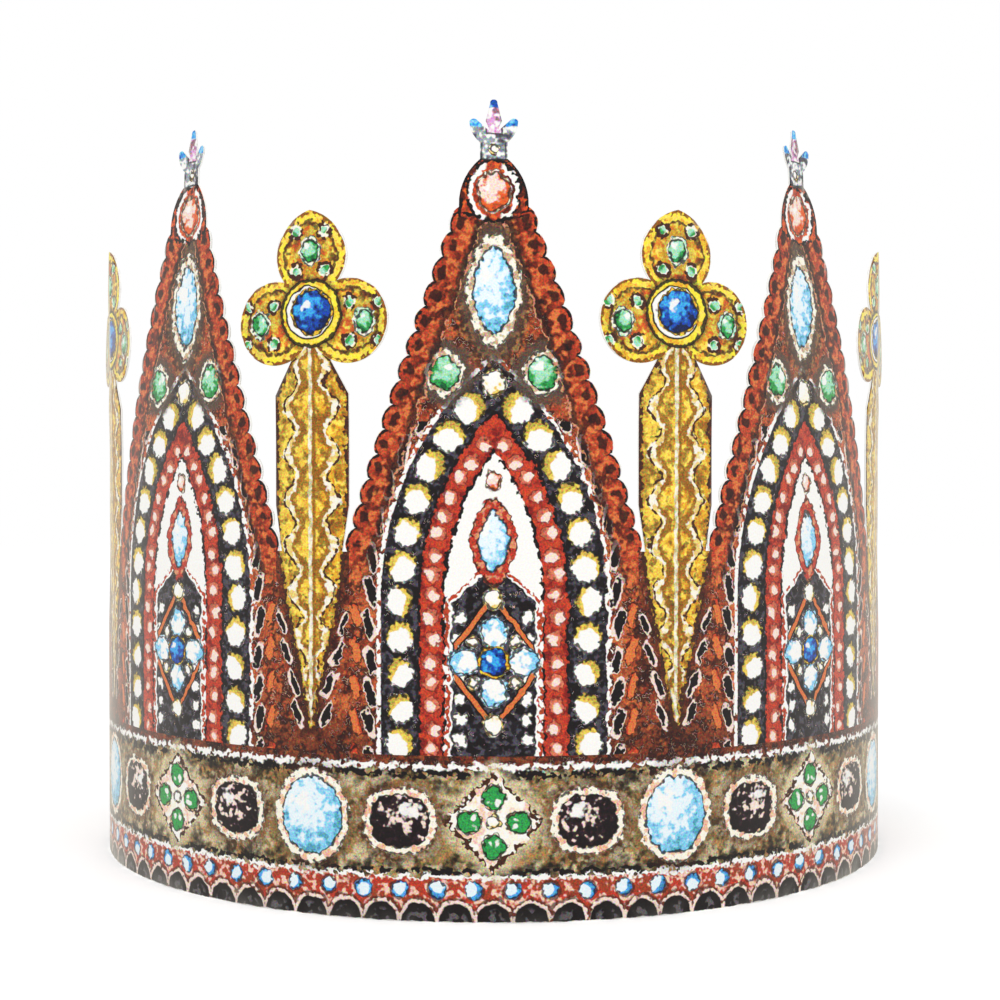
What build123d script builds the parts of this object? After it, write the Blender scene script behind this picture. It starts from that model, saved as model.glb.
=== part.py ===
from build123d import *
from math import cos, degrees, pi, sin
import os

# A paper crown: one die-cut strip of printed card, curled into a ring and glued at a lap.
# Millimetres. +Z is up, -Y is the front, and the origin is the middle of the ring on its bottom rim.
# The outline is drawn on the flat card: u runs along the strip from the front, v up from the bottom edge.

# Card and ring
card_thickness = 0.35
pitch = 72.0
pitches_round = 8
lap_length = 15.0
lap_bite = 0.035

# Wall, the sweep at each end of it, and the strap behind
wall_height = 71.0
strap_height = 38.0
sweep_length = 34.0
sweep_hollow = 8.8

# Gables, and the scallops along their flanks
gable_count = 3
flank_height = 66.0
flank_swell = 0.7
notch_gap = 0.9
scallops_per_flank = 14
scallop_rise = 0.9
dome_width = 13.4
dome_height = 9.2
dome_swell = 1.2

# Finial on each gable: a short stem, two side prongs and a bud between them
stem_width = 5.3
stem_height = 4.0
prong_root_height = 3.2
prong_span = 9.4
prong_height = 3.6
prong_width = 1.3
prong_droop = 0.4
prong_flare = 0.5
prong_round = 0.3
crotch_width = 1.3
crotch_drop = 2.4
bud_width = 3.1
bud_waist_height = 3.3
bud_height = 7.4
bud_tip_width = 1.4
bud_tip_height = 0.7
bud_round = 0.25

# Posts between the gables, each with a trefoil on its neck
shaft_width = 16.0
shaft_height = 30.5
shaft_foot_width = 13.2
shaft_foot_height = 9.0
neck_width = 8.4
neck_rise = 6.8
lobe_radius = 8.3
lobe_offset = 8.0
top_lobe_waist = 12.2
top_lobe_height = 13.6
top_lobe_belly = 1.8
temple_width = 11.4
temple_drop = 3.7
temple_swell = 0.6

# What a cutting profile runs past the card by, so that no two faces meet in one plane
clearance = 3.0

# What the sweep's profile shares with the wall and the post beside it, so that no hairline is left between
sweep_overlap = 0.2

# Worked out from the sizes above
ring_radius = pitch * pitches_round / (2 * pi)
flank_top = wall_height + flank_height
finial_base = flank_top + dome_height
crotch_level = finial_base + stem_height
crown_height = crotch_level + bud_height
gable_foot = pitch / 2 - shaft_foot_width / 2 - notch_gap
post_count = gable_count + 1
outer_post = (post_count - 1) / 2 * pitch
sweep_start = outer_post + shaft_foot_width / 2 - sweep_overlap
shaft_top = wall_height + shaft_height
neck_level = shaft_top + neck_rise


def at(u, v):
    """A point of the flat card, seen square on from the front of the curled sheet."""
    return (ring_radius * sin(u / ring_radius), v)


def straight(start, end):
    """A straight stretch of the outline, between two points of the flat card."""
    return Line(at(*start), at(*end))


def bowed(start, end, rise):
    """A round stretch of the outline, which swells out to its right by rise on its way to its end."""
    return SagittaArc(at(*start), at(*end), -rise)


def both_halves(right_half):
    """The face between a right-hand outline, drawn from centre line to centre line, and its mirror image."""
    return make_face(right_half + mirror(right_half, about=Plane.YZ))


def stood_up(face, u):
    """The face as a cutting profile that passes through the ring wall at the place u."""
    inner_reach = ring_radius * cos(pitch / 2 / ring_radius) - clearance
    outer_reach = ring_radius + clearance
    profile = extrude(Plane.XZ.offset(inner_reach) * face, amount=outer_reach - inner_reach)
    return Rot(0, 0, degrees(u / ring_radius)) * profile


def curled_strip():
    """The plain card strip, curled into a ring, with its left end tucked under its right end at the back."""
    lap_angle = lap_length / ring_radius
    tuck = (card_thickness - lap_bite) / (1 + sin(lap_angle))

    def bow(centre_x, radius, start, sweep):
        outside = CenterArc((centre_x, 0), radius + card_thickness / 2, start, sweep)
        inside = CenterArc((centre_x, 0), radius - card_thickness / 2, start, sweep)
        return make_face(outside + inside + Line(outside @ 0, inside @ 0) + Line(outside @ 1, inside @ 1))

    right_arm = bow(0, ring_radius, 180, 270)
    left_arm = bow(-tuck, ring_radius - tuck, 90 - degrees(lap_angle), 90 + degrees(lap_angle))
    return extrude(right_arm + left_arm, amount=crown_height + clearance)


def wall_profile(half_reach, height):
    """A cutting profile for a stretch of plain wall, as far to each side of the front as half_reach."""
    width = 4 * clearance
    section = Plane.XZ * Pos(ring_radius, (height - clearance) / 2) * Rectangle(width, height + clearance)
    sweep = 2 * degrees(half_reach / ring_radius)
    return Rot(0, 0, -90 - sweep / 2) * revolve(section, axis=Axis.Z, revolution_arc=sweep)


def sweep_face():
    """The edge beyond the outer post, which sweeps down in a hollow curve from the wall to the strap."""
    end = sweep_length / 2
    foot = strap_height - clearance
    inner = -end - shaft_foot_width / 2
    return make_face(
        bowed((-end, wall_height), (end, strap_height), sweep_hollow)
        + straight((end, strap_height), (end, foot))
        + straight((end, foot), (inner, foot))
        + straight((inner, foot), (inner, wall_height))
        + straight((inner, wall_height), (-end, wall_height))
    )


def scalloped_flank():
    """The right flank of a gable: a row of round scallops up a slightly swelling line, from notch to dome."""

    def cusp(index):
        share = index / scallops_per_flank
        swell = 4 * flank_swell * share * (1 - share)
        return (gable_foot + (dome_width / 2 - gable_foot) * share + swell, wall_height + flank_height * share)

    flank = Curve()
    for index in range(scallops_per_flank):
        flank += bowed(cusp(index), cusp(index + 1), scallop_rise)
    return flank


def finial_half():
    """The right half of the finial: the stem's side, one prong and half of the bud."""
    prong_root = (stem_width / 2, finial_base + prong_root_height)
    prong_top = crotch_level + prong_height
    prong_tip = (prong_span / 2, prong_top - prong_droop)
    prong_crown = (prong_span / 2 - prong_width, prong_top)
    crotch = (crotch_width / 2, prong_top - crotch_drop)
    bud_waist = (bud_width / 2, crotch_level + bud_waist_height)
    bud_shoulder = (bud_tip_width / 2, crown_height - bud_tip_height)
    return (
        straight((stem_width / 2, finial_base), prong_root)
        + bowed(prong_root, prong_tip, prong_flare)
        + bowed(prong_tip, prong_crown, prong_round)
        + straight(prong_crown, crotch)
        + straight(crotch, bud_waist)
        + straight(bud_waist, bud_shoulder)
        + bowed(bud_shoulder, (0, crown_height), bud_round)
    )


def gable_face():
    """A tall gable with scalloped flanks, a small dome and a finial."""
    root = wall_height - clearance
    return both_halves(
        straight((0, root), (gable_foot, root))
        + straight((gable_foot, root), (gable_foot, wall_height))
        + scalloped_flank()
        + bowed((dome_width / 2, flank_top), (stem_width / 2, finial_base), dome_swell)
        + finial_half()
    )


def trefoil_half():
    """The right half of the trefoil: one round side lobe, and half of the pointed lobe over it."""
    neck_inset = lobe_offset - neck_width / 2
    waist_inset = lobe_offset - top_lobe_waist / 2
    lobe_level = neck_level + (lobe_radius**2 - neck_inset**2) ** 0.5
    waist_level = lobe_level + (lobe_radius**2 - waist_inset**2) ** 0.5
    neck = (neck_width / 2, neck_level)
    waist = (top_lobe_waist / 2, waist_level)
    tip = (0, waist_level + top_lobe_height)
    temple = (temple_width / 2, tip[1] - temple_drop)
    return (
        ThreePointArc(at(*neck), at(lobe_offset + lobe_radius, lobe_level), at(*waist))
        + bowed(waist, temple, top_lobe_belly)
        + bowed(temple, tip, temple_swell)
    )


def post_face():
    """A straight shaft with a narrowed foot, sloping shoulders, a neck and a trefoil."""
    root = wall_height - clearance
    foot = shaft_foot_width / 2
    side = shaft_width / 2
    return both_halves(
        straight((0, root), (foot, root))
        + straight((foot, root), (foot, wall_height))
        + straight((foot, wall_height), (side, wall_height + shaft_foot_height))
        + straight((side, wall_height + shaft_foot_height), (side, shaft_top))
        + straight((side, shaft_top), (neck_width / 2, neck_level))
        + trefoil_half()
    )


def die_cut_outline():
    """Everything that the cutting die leaves of the strip, as one body of profiles set round the ring."""
    outline = wall_profile(outer_post, wall_height)
    outline += wall_profile(pitch * pitches_round / 2, strap_height)
    sweep = stood_up(sweep_face(), sweep_start + sweep_length / 2)
    outline += sweep
    outline += mirror(sweep, about=Plane.YZ)
    gable = gable_face()
    for index in range(gable_count):
        outline += stood_up(gable, (index - (gable_count - 1) / 2) * pitch)
    post = post_face()
    for index in range(post_count):
        outline += stood_up(post, (index - (post_count - 1) / 2) * pitch)
    return outline


crown = curled_strip() & die_cut_outline()

os.makedirs("parts", exist_ok=True)
export_step(crown, "parts/crown.step")
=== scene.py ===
"""A printed paper crown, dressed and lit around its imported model.

The crown is one die-cut strip of card, curled into a ring. Its outside carries a jewelled print, which is
painted here by shader nodes on the flat card: u runs along the strip from the front gable and v up from the
bottom edge, both in millimetres. In the drawing, ug and up are distances along the strip from the nearest
gable's and post's middle line. The inside and the cut edges are bare white card.
"""
import logging
import math
from dataclasses import asdict, dataclass
from enum import Enum
from functools import reduce
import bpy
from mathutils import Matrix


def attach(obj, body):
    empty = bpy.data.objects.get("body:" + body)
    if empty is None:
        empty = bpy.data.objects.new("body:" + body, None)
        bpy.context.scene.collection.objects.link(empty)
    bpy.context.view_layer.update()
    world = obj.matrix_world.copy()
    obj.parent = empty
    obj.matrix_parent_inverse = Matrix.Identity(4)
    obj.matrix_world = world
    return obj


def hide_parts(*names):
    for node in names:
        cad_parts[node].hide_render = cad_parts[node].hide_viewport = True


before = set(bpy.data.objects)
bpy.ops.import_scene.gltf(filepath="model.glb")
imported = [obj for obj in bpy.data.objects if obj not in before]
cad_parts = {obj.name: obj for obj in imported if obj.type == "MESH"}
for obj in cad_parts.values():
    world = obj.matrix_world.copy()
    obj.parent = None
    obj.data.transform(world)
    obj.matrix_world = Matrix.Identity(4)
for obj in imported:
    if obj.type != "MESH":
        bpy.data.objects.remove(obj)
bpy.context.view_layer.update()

from types import SimpleNamespace
from typing import NamedTuple

import bmesh
import bpy
import numpy as np
from mathutils import Vector

log = logging.getLogger("paper_crown")

MM = 0.001
FLAT_MAP = "Flat"
BAKE_MAP = "OFBake"


class Zone(Enum):
    """The stretches of the card, in the order of the crown's material slots."""

    ARCH = 0
    CREST = 1
    POST = 2
    BAND = 3
    BARE = 4


@dataclass(frozen=True)
class Blank:
    """The flat die-cut strip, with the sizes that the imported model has, in millimetres."""

    thickness: float = 0.35
    pitches_round: int = 8
    pitch: float = 72.0
    lap_length: float = 15.0
    lap_bite: float = 0.035
    wall_height: float = 71.0
    strap_height: float = 38.0
    sweep_length: float = 34.0
    sweep_hollow: float = 8.8
    sweep_overlap: float = 0.2
    flank_top: float = 137.0
    flank_swell: float = 0.7
    finial_base: float = 146.2
    crown_height: float = 157.6
    scallops: int = 14
    scallop_rise: float = 0.9
    notch_gap: float = 0.9
    dome_width: float = 13.4
    stem_width: float = 5.3
    shaft_width: float = 16.0
    shaft_foot_width: float = 13.2
    shaft_foot_height: float = 9.0
    shaft_top: float = 101.5
    neck_level: float = 108.3
    neck_width: float = 8.4
    lobe_radius: float = 8.3
    lobe_offset: float = 8.0
    lobe_level: float = 115.68
    band_zone_top: float = 32.0
    crest_zone_foot: float = 96.0

    @property
    def radius(self) -> float:
        """Radius of the ring at the middle of the card."""
        return self.pitch * self.pitches_round / (2 * math.pi)

    @property
    def tuck(self) -> float:
        """How far the left arm lies inside the right arm at the lap."""
        return (self.thickness - self.lap_bite) / (1 + math.sin(self.lap_length / self.radius))

    @property
    def outer_post(self) -> float:
        """Where the outer post's middle line stands, from the front."""
        return 1.5 * self.pitch

    @property
    def front_reach(self) -> float:
        """Half the length of the tall front wall."""
        return self.outer_post + self.shaft_foot_width / 2

    @property
    def flank_foot(self) -> float:
        """Half the width of a gable between its lowest scallops' roots."""
        return self.pitch / 2 - self.shaft_foot_width / 2 - self.notch_gap

    @property
    def sweep_radius(self) -> float:
        """Radius of the hollow edge behind an outer post."""
        half = math.hypot(self.sweep_length, self.wall_height - self.strap_height) / 2
        return (half**2 + self.sweep_hollow**2) / (2 * self.sweep_hollow)

    @property
    def sweep_centre(self) -> tuple[float, float]:
        """Middle of that edge's circle on the flat card, to the right of the front.

        Returns:
            Its place along the strip, and its height.
        """
        drop = self.wall_height - self.strap_height
        chord = math.hypot(self.sweep_length, drop)
        away = (self.sweep_radius - self.sweep_hollow) / chord
        return (
            self.front_reach - self.sweep_overlap + self.sweep_length / 2 + away * drop,
            (self.wall_height + self.strap_height) / 2 + away * self.sweep_length,
        )


BLANK = Blank()


def linear(code: str) -> tuple[float, float, float, float]:
    """Turns a screen colour into the linear colour that renders as it, by the usual curve of screens.

    Args:
        code: Six hexadecimal digits, two each for red, green and blue.

    Returns:
        Red, green, blue and an alpha of 1, each from 0 to 1.
    """
    screen = np.array([int(code[i : i + 2], 16) for i in (0, 2, 4)]) / 255
    lit = np.where(screen <= 0.04045, screen / 12.92, ((screen + 0.055) / 1.055) ** 2.4)
    return (*(float(c) for c in lit), 1.0)


@dataclass(frozen=True)
class Palette:
    """The printer's colours, as they look on the card."""

    paper: str = "f6f5f1"
    ivory: str = "f3f0e8"
    flax: str = "e4dfd4"
    ink: str = "151012"
    sepia: str = "43251a"
    ground: str = "9b3f26"
    ground_dark: str = "4c1b15"
    ground_light: str = "bd6038"
    ground_black: str = "231314"
    ember: str = "d8743e"
    rust: str = "b24326"
    vermilion: str = "c64528"
    coral: str = "b83a29"
    coral_dark: str = "7c1d1b"
    salmon: str = "d9714f"
    blush: str = "efc8b2"
    peach: str = "e6a077"
    rose: str = "f2dccf"
    charcoal: str = "1f1c22"
    charcoal_light: str = "4a4650"
    slate: str = "6a6468"
    smoke: str = "54453b"
    pearl: str = "f7f3e2"
    straw: str = "e8c640"
    parchment: str = "dccda6"
    gold: str = "e9b02e"
    gold_light: str = "fae05a"
    gold_dark: str = "8e581b"
    amber: str = "d2962a"
    olive: str = "94804f"
    olive_dark: str = "443723"
    umber: str = "b3824f"
    lemon: str = "f6ea3a"
    leaf: str = "b9b25a"
    sky: str = "86cdee"
    sky_pale: str = "e6f3f8"
    teal: str = "4a9cb4"
    navy: str = "0b1136"
    royal: str = "1747a6"
    azure: str = "3aa5e8"
    emerald: str = "2f9a4c"
    forest: str = "15552f"
    mint: str = "a3dfbb"
    carnelian: str = "e2622a"
    plum: str = "2c1c22"
    mauve: str = "8f6573"
    pewter: str = "9aa2a9"
    pink: str = "dda3d2"


INKS = Palette()


@dataclass(frozen=True)
class Field:
    """A number or colour that changes over the card: a socket of a node tree, with arithmetic."""

    sketch: "Sketch"
    socket: bpy.types.NodeSocket

    def __add__(self, other: "Value") -> "Field":
        """Adds a value."""
        return self.sketch.math("ADD", self, other)

    def __sub__(self, other: "Value") -> "Field":
        """Takes a value away."""
        return self.sketch.math("SUBTRACT", self, other)

    def __rsub__(self, other: "Value") -> "Field":
        """Is taken away from a value."""
        return self.sketch.math("SUBTRACT", other, self)

    def __mul__(self, other: "Value") -> "Field":
        """Multiplies by a value."""
        return self.sketch.math("MULTIPLY", self, other)

    def __truediv__(self, other: "Value") -> "Field":
        """Divides by a value."""
        return self.sketch.math("DIVIDE", self, other)

    def __rtruediv__(self, other: "Value") -> "Field":
        """Divides a value."""
        return self.sketch.math("DIVIDE", other, self)

    def __pow__(self, power: "Value") -> "Field":
        """Raises to a power."""
        return self.sketch.math("POWER", self, power)

    def __abs__(self) -> "Field":
        """Drops the sign."""
        return self.sketch.math("ABSOLUTE", self)


Value = Field | float
Colour = Field | str
Feed = Value | Colour | tuple[float, ...]


def label(name: str) -> str:
    """The name of a group's socket, from the word that the script has for it."""
    return name.replace("_", " ").capitalize()


class Sketch:
    """A shader node tree, with short calls that add nodes to it.

    The Mix node's sockets for colours share their names with those for numbers, so they go by number.
    """

    mix_under: int = 6
    mix_over: int = 7
    mix_result: int = 2

    def __init__(self, tree: bpy.types.NodeTree) -> None:
        """Takes the tree to draw in.

        Args:
            tree: A material's own tree or a node group.
        """
        self.tree = tree

    def node(self, kind: str, **settings: object) -> bpy.types.Node:
        """Adds a node.

        Args:
            kind: The node's type, without the words ShaderNode.
            settings: Values of the node's own properties.

        Returns:
            The new node.
        """
        made = self.tree.nodes.new("ShaderNode" + kind)
        for name, value in settings.items():
            setattr(made, name, value)
        return made

    def feed(self, socket: bpy.types.NodeSocket, value: Feed) -> None:
        """Links a field to an input socket, or sets a plain value on it.

        Args:
            socket: The input.
            value: A field, a number, a colour's code or some numbers.
        """
        if isinstance(value, Field):
            self.tree.links.new(value.socket, socket)
        elif isinstance(value, str):
            socket.default_value = linear(value)
        else:
            socket.default_value = value

    def dial(self, made: bpy.types.Node, values: dict[str, Feed]) -> None:
        """Feeds some of a node's inputs.

        Args:
            made: The node.
            values: The inputs' names, and what each gets.
        """
        for name, value in values.items():
            self.feed(made.inputs[name], value)

    def close(self, kind: str, shader: bpy.types.Node) -> None:
        """Joins a shader to a new output node of that kind."""
        self.feed(self.node(kind).inputs["Surface"], Field(self, shader.outputs[0]))

    def math(self, operation: str, *values: Value) -> Field:
        """Adds a Math node.

        Args:
            operation: The node's operation.
            values: Its inputs, in order.

        Returns:
            The node's result.
        """
        made = self.node("Math", operation=operation)
        for socket, value in zip(made.inputs, values):
            self.feed(socket, value)
        return Field(self, made.outputs[0])

    def most(self, *values: Value) -> Field:
        """The largest of some values."""
        return reduce(lambda one, other: self.math("MAXIMUM", one, other), values)

    def least(self, *values: Value) -> Field:
        """The smallest of some values."""
        return reduce(lambda one, other: self.math("MINIMUM", one, other), values)

    def joined(self, x: Value, y: Value) -> Field:
        """Makes a vector of two numbers.

        Args:
            x: The first.
            y: The second.

        Returns:
            The vector.
        """
        pair = self.node("CombineXYZ")
        self.dial(pair, {"X": x, "Y": y})
        return Field(self, pair.outputs[0])

    def parts(self, kind: str, whole: Field) -> list[Field]:
        """Splits a vector or a colour into its numbers.

        Args:
            kind: The type of the node that splits it, without the words ShaderNode.
            whole: The vector or colour.

        Returns:
            A field for each number.
        """
        split = self.node(kind)
        self.feed(split.inputs[0], whole)
        return [Field(self, out) for out in split.outputs]

    def length(self, x: Value, y: Value) -> Field:
        """Measures how far a point lies from the origin.

        Args:
            x: Its place across.
            y: Its place up.

        Returns:
            The distance.
        """
        made = self.node("VectorMath", operation="LENGTH")
        self.feed(made.inputs[0], self.joined(x, y))
        return Field(self, made.outputs["Value"])

    def reach(self, x: Field, y: Field, power: Field) -> Field:
        """Measures how far out a point lies: the p-th root of |x| to the p plus |y| to the p.

        Args:
            x: The point's place across, in half widths of the outline.
            y: Its place up, in half heights.
            power: The p: 2 makes the outline an oval, near 1 a lozenge and above 2 a cushion.

        Returns:
            0 at the middle, and 1 on the outline.
        """
        return (abs(x) ** power + abs(y) ** power) ** (1.0 / power)

    def rise(self, low: Value, high: Value, x: Value) -> Field:
        """Makes a smooth step.

        Args:
            low: Where it starts.
            high: Where it ends, which may lie below its start.
            x: The place to read it at.

        Returns:
            0 up to the start, 1 from the end on, and a smooth way between them.
        """
        made = self.node("MapRange", interpolation_type="SMOOTHSTEP")
        self.dial(made, {"Value": x, "From Min": low, "From Max": high})
        return Field(self, made.outputs[0])

    def inside(self, distance: Value, soft: float = 0.12) -> Field:
        """1 where a distance is negative and 0 where it is positive, with a soft edge each way."""
        return self.rise(soft, -soft, distance)

    def line(self, distance: Field, width: Value, soft: float = 0.1) -> Field:
        """1 along the places where a distance is 0, as wide as width, and 0 off it."""
        return self.inside(abs(distance) - width * 0.5, soft)

    def paint(self, under: Colour, over: Colour, cover: Value, blend: str = "MIX") -> Field:
        """Lays one colour over another.

        Args:
            under: The colour below.
            over: The colour on top.
            cover: How much of it shows, from 0 to 1.
            blend: The Mix node's way of laying it.

        Returns:
            The mixed colour.
        """
        made = self.node("Mix", data_type="RGBA", blend_type=blend)
        self.feed(made.inputs[0], cover)
        self.feed(made.inputs[self.mix_under], under)
        self.feed(made.inputs[self.mix_over], over)
        return Field(self, made.outputs[self.mix_result])

    def texture(self, spot: Field, scale: float, detail: float, roughness: float) -> bpy.types.Node:
        """Adds a noise over the flat card.

        Args:
            spot: The place on the card, in millimetres.
            scale: Bumps in a millimetre.
            detail: Octaves added to the first.
            roughness: How strong each octave is beside the one before.

        Returns:
            The noise's node.
        """
        made = self.node("TexNoise", noise_dimensions="2D")
        self.dial(made, {"Vector": spot, "Scale": scale, "Detail": detail, "Roughness": roughness})
        return made

    def place(self, group: bpy.types.NodeTree, **values: Feed) -> SimpleNamespace:
        """Adds a node group.

        Args:
            group: The group's tree.
            values: Its inputs, named as its sockets are, in small letters with underscores.

        Returns:
            Its outputs, named in the same way.
        """
        made = self.node("Group", node_tree=group)
        self.dial(made, {label(name): value for name, value in values.items()})
        return SimpleNamespace(**{s.name.lower().replace(" ", "_"): Field(self, s) for s in made.outputs})


class Group(Sketch):
    """A shader node group: one drawn effect with named inputs and outputs."""

    def __init__(self, name: str, **inputs: float | str) -> None:
        """Makes the group and its inputs.

        Args:
            name: The group's name.
            inputs: The usual value of each input, a number or a colour's code.
        """
        super().__init__(bpy.data.node_groups.new(name, "ShaderNodeTree"))
        for key, usual in inputs.items():
            kind = "NodeSocketColor" if isinstance(usual, str) else "NodeSocketFloat"
            socket = self.tree.interface.new_socket(label(key), in_out="INPUT", socket_type=kind)
            socket.default_value = linear(usual) if isinstance(usual, str) else usual
        self._entry = self.tree.nodes.new("NodeGroupInput")
        self._exit = self.tree.nodes.new("NodeGroupOutput")

    def __getattr__(self, name: str) -> Field:
        """The group's input of that name."""
        return Field(self, self._entry.outputs[label(name)])

    def give(self, **outputs: Field) -> bpy.types.NodeTree:
        """Adds the outputs.

        Args:
            outputs: What each puts out. The one named colour is a colour, and the rest are numbers.

        Returns:
            The group's tree.
        """
        for key, field in outputs.items():
            kind = "NodeSocketColor" if key == "colour" else "NodeSocketFloat"
            self.tree.interface.new_socket(label(key), in_out="OUTPUT", socket_type=kind)
            self.feed(self._exit.inputs[label(key)], field)
        return self.tree


def wash_group() -> bpy.types.NodeTree:
    """A watercolour wash: a body colour that thins to a pale tone in places and pools dark in others.

    The thin places follow the fast noise. The pools follow a tide, which is the slow noise roughened by
    the others. Their shores are soft, except where the tide is highest and the colour dries in blots.

    Returns:
        The group's tree.
    """
    s = Group(
        "Watercolour wash",
        slow=0.5, fast=0.5, grain=0.5,
        body=INKS.ground, pool=INKS.ground_dark, thin=INKS.ground_light,
    )
    tide = s.slow * 0.5 + s.fast * 0.38 + s.grain * 0.12
    light = s.fast * 0.7 + s.grain * 0.3
    thinned = s.paint(s.body, s.thin, s.rise(0.52, 0.38, light))
    pooled = s.paint(thinned, s.pool, s.rise(0.48, 0.6, tide) * 0.85)
    return s.give(colour=s.paint(pooled, s.pool, s.rise(0.56, 0.585, tide) * 0.7))


def stone_group() -> bpy.types.NodeTree:
    """A cut stone in a setting, drawn in wash and ink.

    The distance to its outline is the reach less 1, times the smaller half size. The stone is deep
    towards its rim, below and to the right, and pale with a white glint above its middle. Round the
    setting the colour below fades into a dark shade.

    Returns:
        The group's tree.
    """
    s = Group(
        "Set stone",
        u=0.0, v=0.0, half_width=5.0, half_height=5.0, power=2.0,
        rim=1.2, mottle=1.3, core=0.0, gloom=0.5,
        slow=0.5, grain=0.5, fast=0.5,
        deep=INKS.royal, body=INKS.sky, pale=INKS.sky, setting=INKS.pearl,
        worn=INKS.umber, stroke=INKS.ink, shade=INKS.sepia,
    )
    x = s.u / s.half_width
    y = s.v / s.half_height
    reach = s.reach(x, y, s.power)
    scaled = (reach - 1.0) * s.least(s.half_width, s.half_height)
    distance = scaled + (s.fast - 0.5) * 1.1 + (s.grain - 0.5) * 0.35
    inner = scaled + s.rim + (s.slow - 0.5) * 1.2
    mottle = (s.fast - 0.5) * s.mottle + (s.grain - 0.5) * s.mottle * 0.3
    side = x * 0.26 - y * 0.34 + reach * 0.75 + s.core + mottle
    body = s.paint(s.pale, s.body, s.rise(0.2, 0.55, side))
    body = s.paint(body, s.deep, s.rise(0.62, 0.95, side + (s.slow - 0.5) * 0.9) * 0.9)
    glint = s.length(x + 0.28, y - 0.3) - 0.2 + (s.slow - 0.5) * 0.7
    body = s.paint(body, INKS.paper, s.inside(glint, 0.07) * 0.92)
    worn = s.paint(s.setting, s.worn, s.rise(0.5, 0.62, s.slow) * 0.75)
    seam = s.rise(0.02, 0.0, abs(s.grain - 0.5)) * s.rise(0.46, 0.56, s.fast)
    worn = s.paint(worn, s.stroke, seam * 0.6)
    colour = s.paint(worn, body, s.inside(inner))
    stroke = s.most(
        s.line(distance + 0.15, s.grain * 0.7) * s.rise(0.36, 0.45, s.slow),
        s.line(inner + 0.05, s.grain * 0.85 - 0.05),
    )
    colour = s.paint(colour, s.stroke, stroke * 0.9)
    cover = s.inside(distance, 0.1)
    return s.give(
        colour=s.paint(s.shade, colour, cover),
        cover=s.most(cover, s.rise(2.6, -0.2, distance) * s.gloom),
    )


def bead_group() -> bpy.types.NodeTree:
    """A row of beads, each drawn a little larger, smaller or to one side by hand.

    The nearest bead is the position along the row over the spacing, rounded and kept between the first
    and the last. A bead is an ellipse round that place, whose size comes from white noise of its number.
    Its tint starts at a share of its reach, further in on one side, which makes a crescent.

    Returns:
        The group's tree.
    """
    s = Group(
        "Bead row",
        along=0.0, across=0.0, spacing=6.0, first=0.0, last=10.0,
        half_length=2.4, half_width=2.0, power=2.0, crescent=0.5,
        grain=0.5, fast=0.5, seed=0.0,
        bead=INKS.pearl, tint=INKS.straw, stroke=INKS.ink,
    )
    number = s.least(s.most(s.math("ROUND", s.along / s.spacing), s.first), s.last)
    chance = s.node("TexWhiteNoise", noise_dimensions="1D")
    s.feed(chance.inputs["W"], number * 1.37 + s.seed)
    luck = s.parts("SeparateColor", Field(s, chance.outputs["Color"]))
    x = (s.along - number * s.spacing + (luck[0] - 0.5) * 0.5) / s.half_length
    y = (s.across + (luck[1] - 0.5) * 0.4) / s.half_width
    reach = s.reach(x, y, s.power)
    ragged = (s.grain - 0.5) * 0.45 + (s.fast - 0.5) * 0.7
    distance = (reach - 0.88 - luck[2] * 0.16) * s.half_width + ragged
    turned = x * (luck[0] * 1.1 - 0.25) + y * (luck[1] * 1.3 - 0.65)
    lit = reach * 0.75 + turned - s.crescent + (s.fast - 0.5) * 0.5
    colour = s.paint(s.bead, s.tint, s.rise(-0.03, 0.12, lit) * 0.95)
    dusk = s.rise(0.12, 0.5, lit + (s.grain - 0.5) * 0.8)
    colour = s.paint(colour, s.stroke, dusk * 0.4)
    colour = s.paint(colour, s.stroke, s.line(distance + 0.1, s.grain * 0.85 - 0.1) * 0.9)
    return s.give(colour=colour, cover=s.inside(distance, 0.1))


def card_group() -> bpy.types.NodeTree:
    """The card's own surface: grit in the ink, a fine tooth for the bump, and the sheet's roughness.

    The grit is a fine noise stretched about a half and laid over the print, so that it darkens and
    lightens the middle tones and leaves black and bare paper as they are.

    Returns:
        The group's tree.
    """
    stretch = 2.6
    s = Group("Card surface", u=0.0, v=0.0, ink=0.0, print=INKS.paper)
    tooth = s.texture(s.joined(s.u, s.v), 2.6, 3.0, 0.65)
    height = Field(s, tooth.outputs[0])
    grit = s.node("VectorMath", operation="MULTIPLY_ADD")
    s.feed(grit.inputs[0], Field(s, tooth.outputs["Color"]))
    s.feed(grit.inputs[1], (stretch,) * 3)
    s.feed(grit.inputs[2], (0.5 - stretch / 2,) * 3)
    return s.give(
        colour=s.paint(s.print, Field(s, grit.outputs[0]), s.ink * 0.6, "OVERLAY"),
        height=height,
        roughness=0.62 - s.ink * 0.16 + (height - 0.5) * 0.12,
    )


class Spot(NamedTuple):
    """A place on the print: along from a motif's middle line, the same without its sign, and up."""

    along: Field
    a: Field
    v: Field


@dataclass
class Tools:
    """The node groups that the finishes share."""

    wash: bpy.types.NodeTree
    stone: bpy.types.NodeTree
    beads: bpy.types.NodeTree
    card: bpy.types.NodeTree


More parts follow.
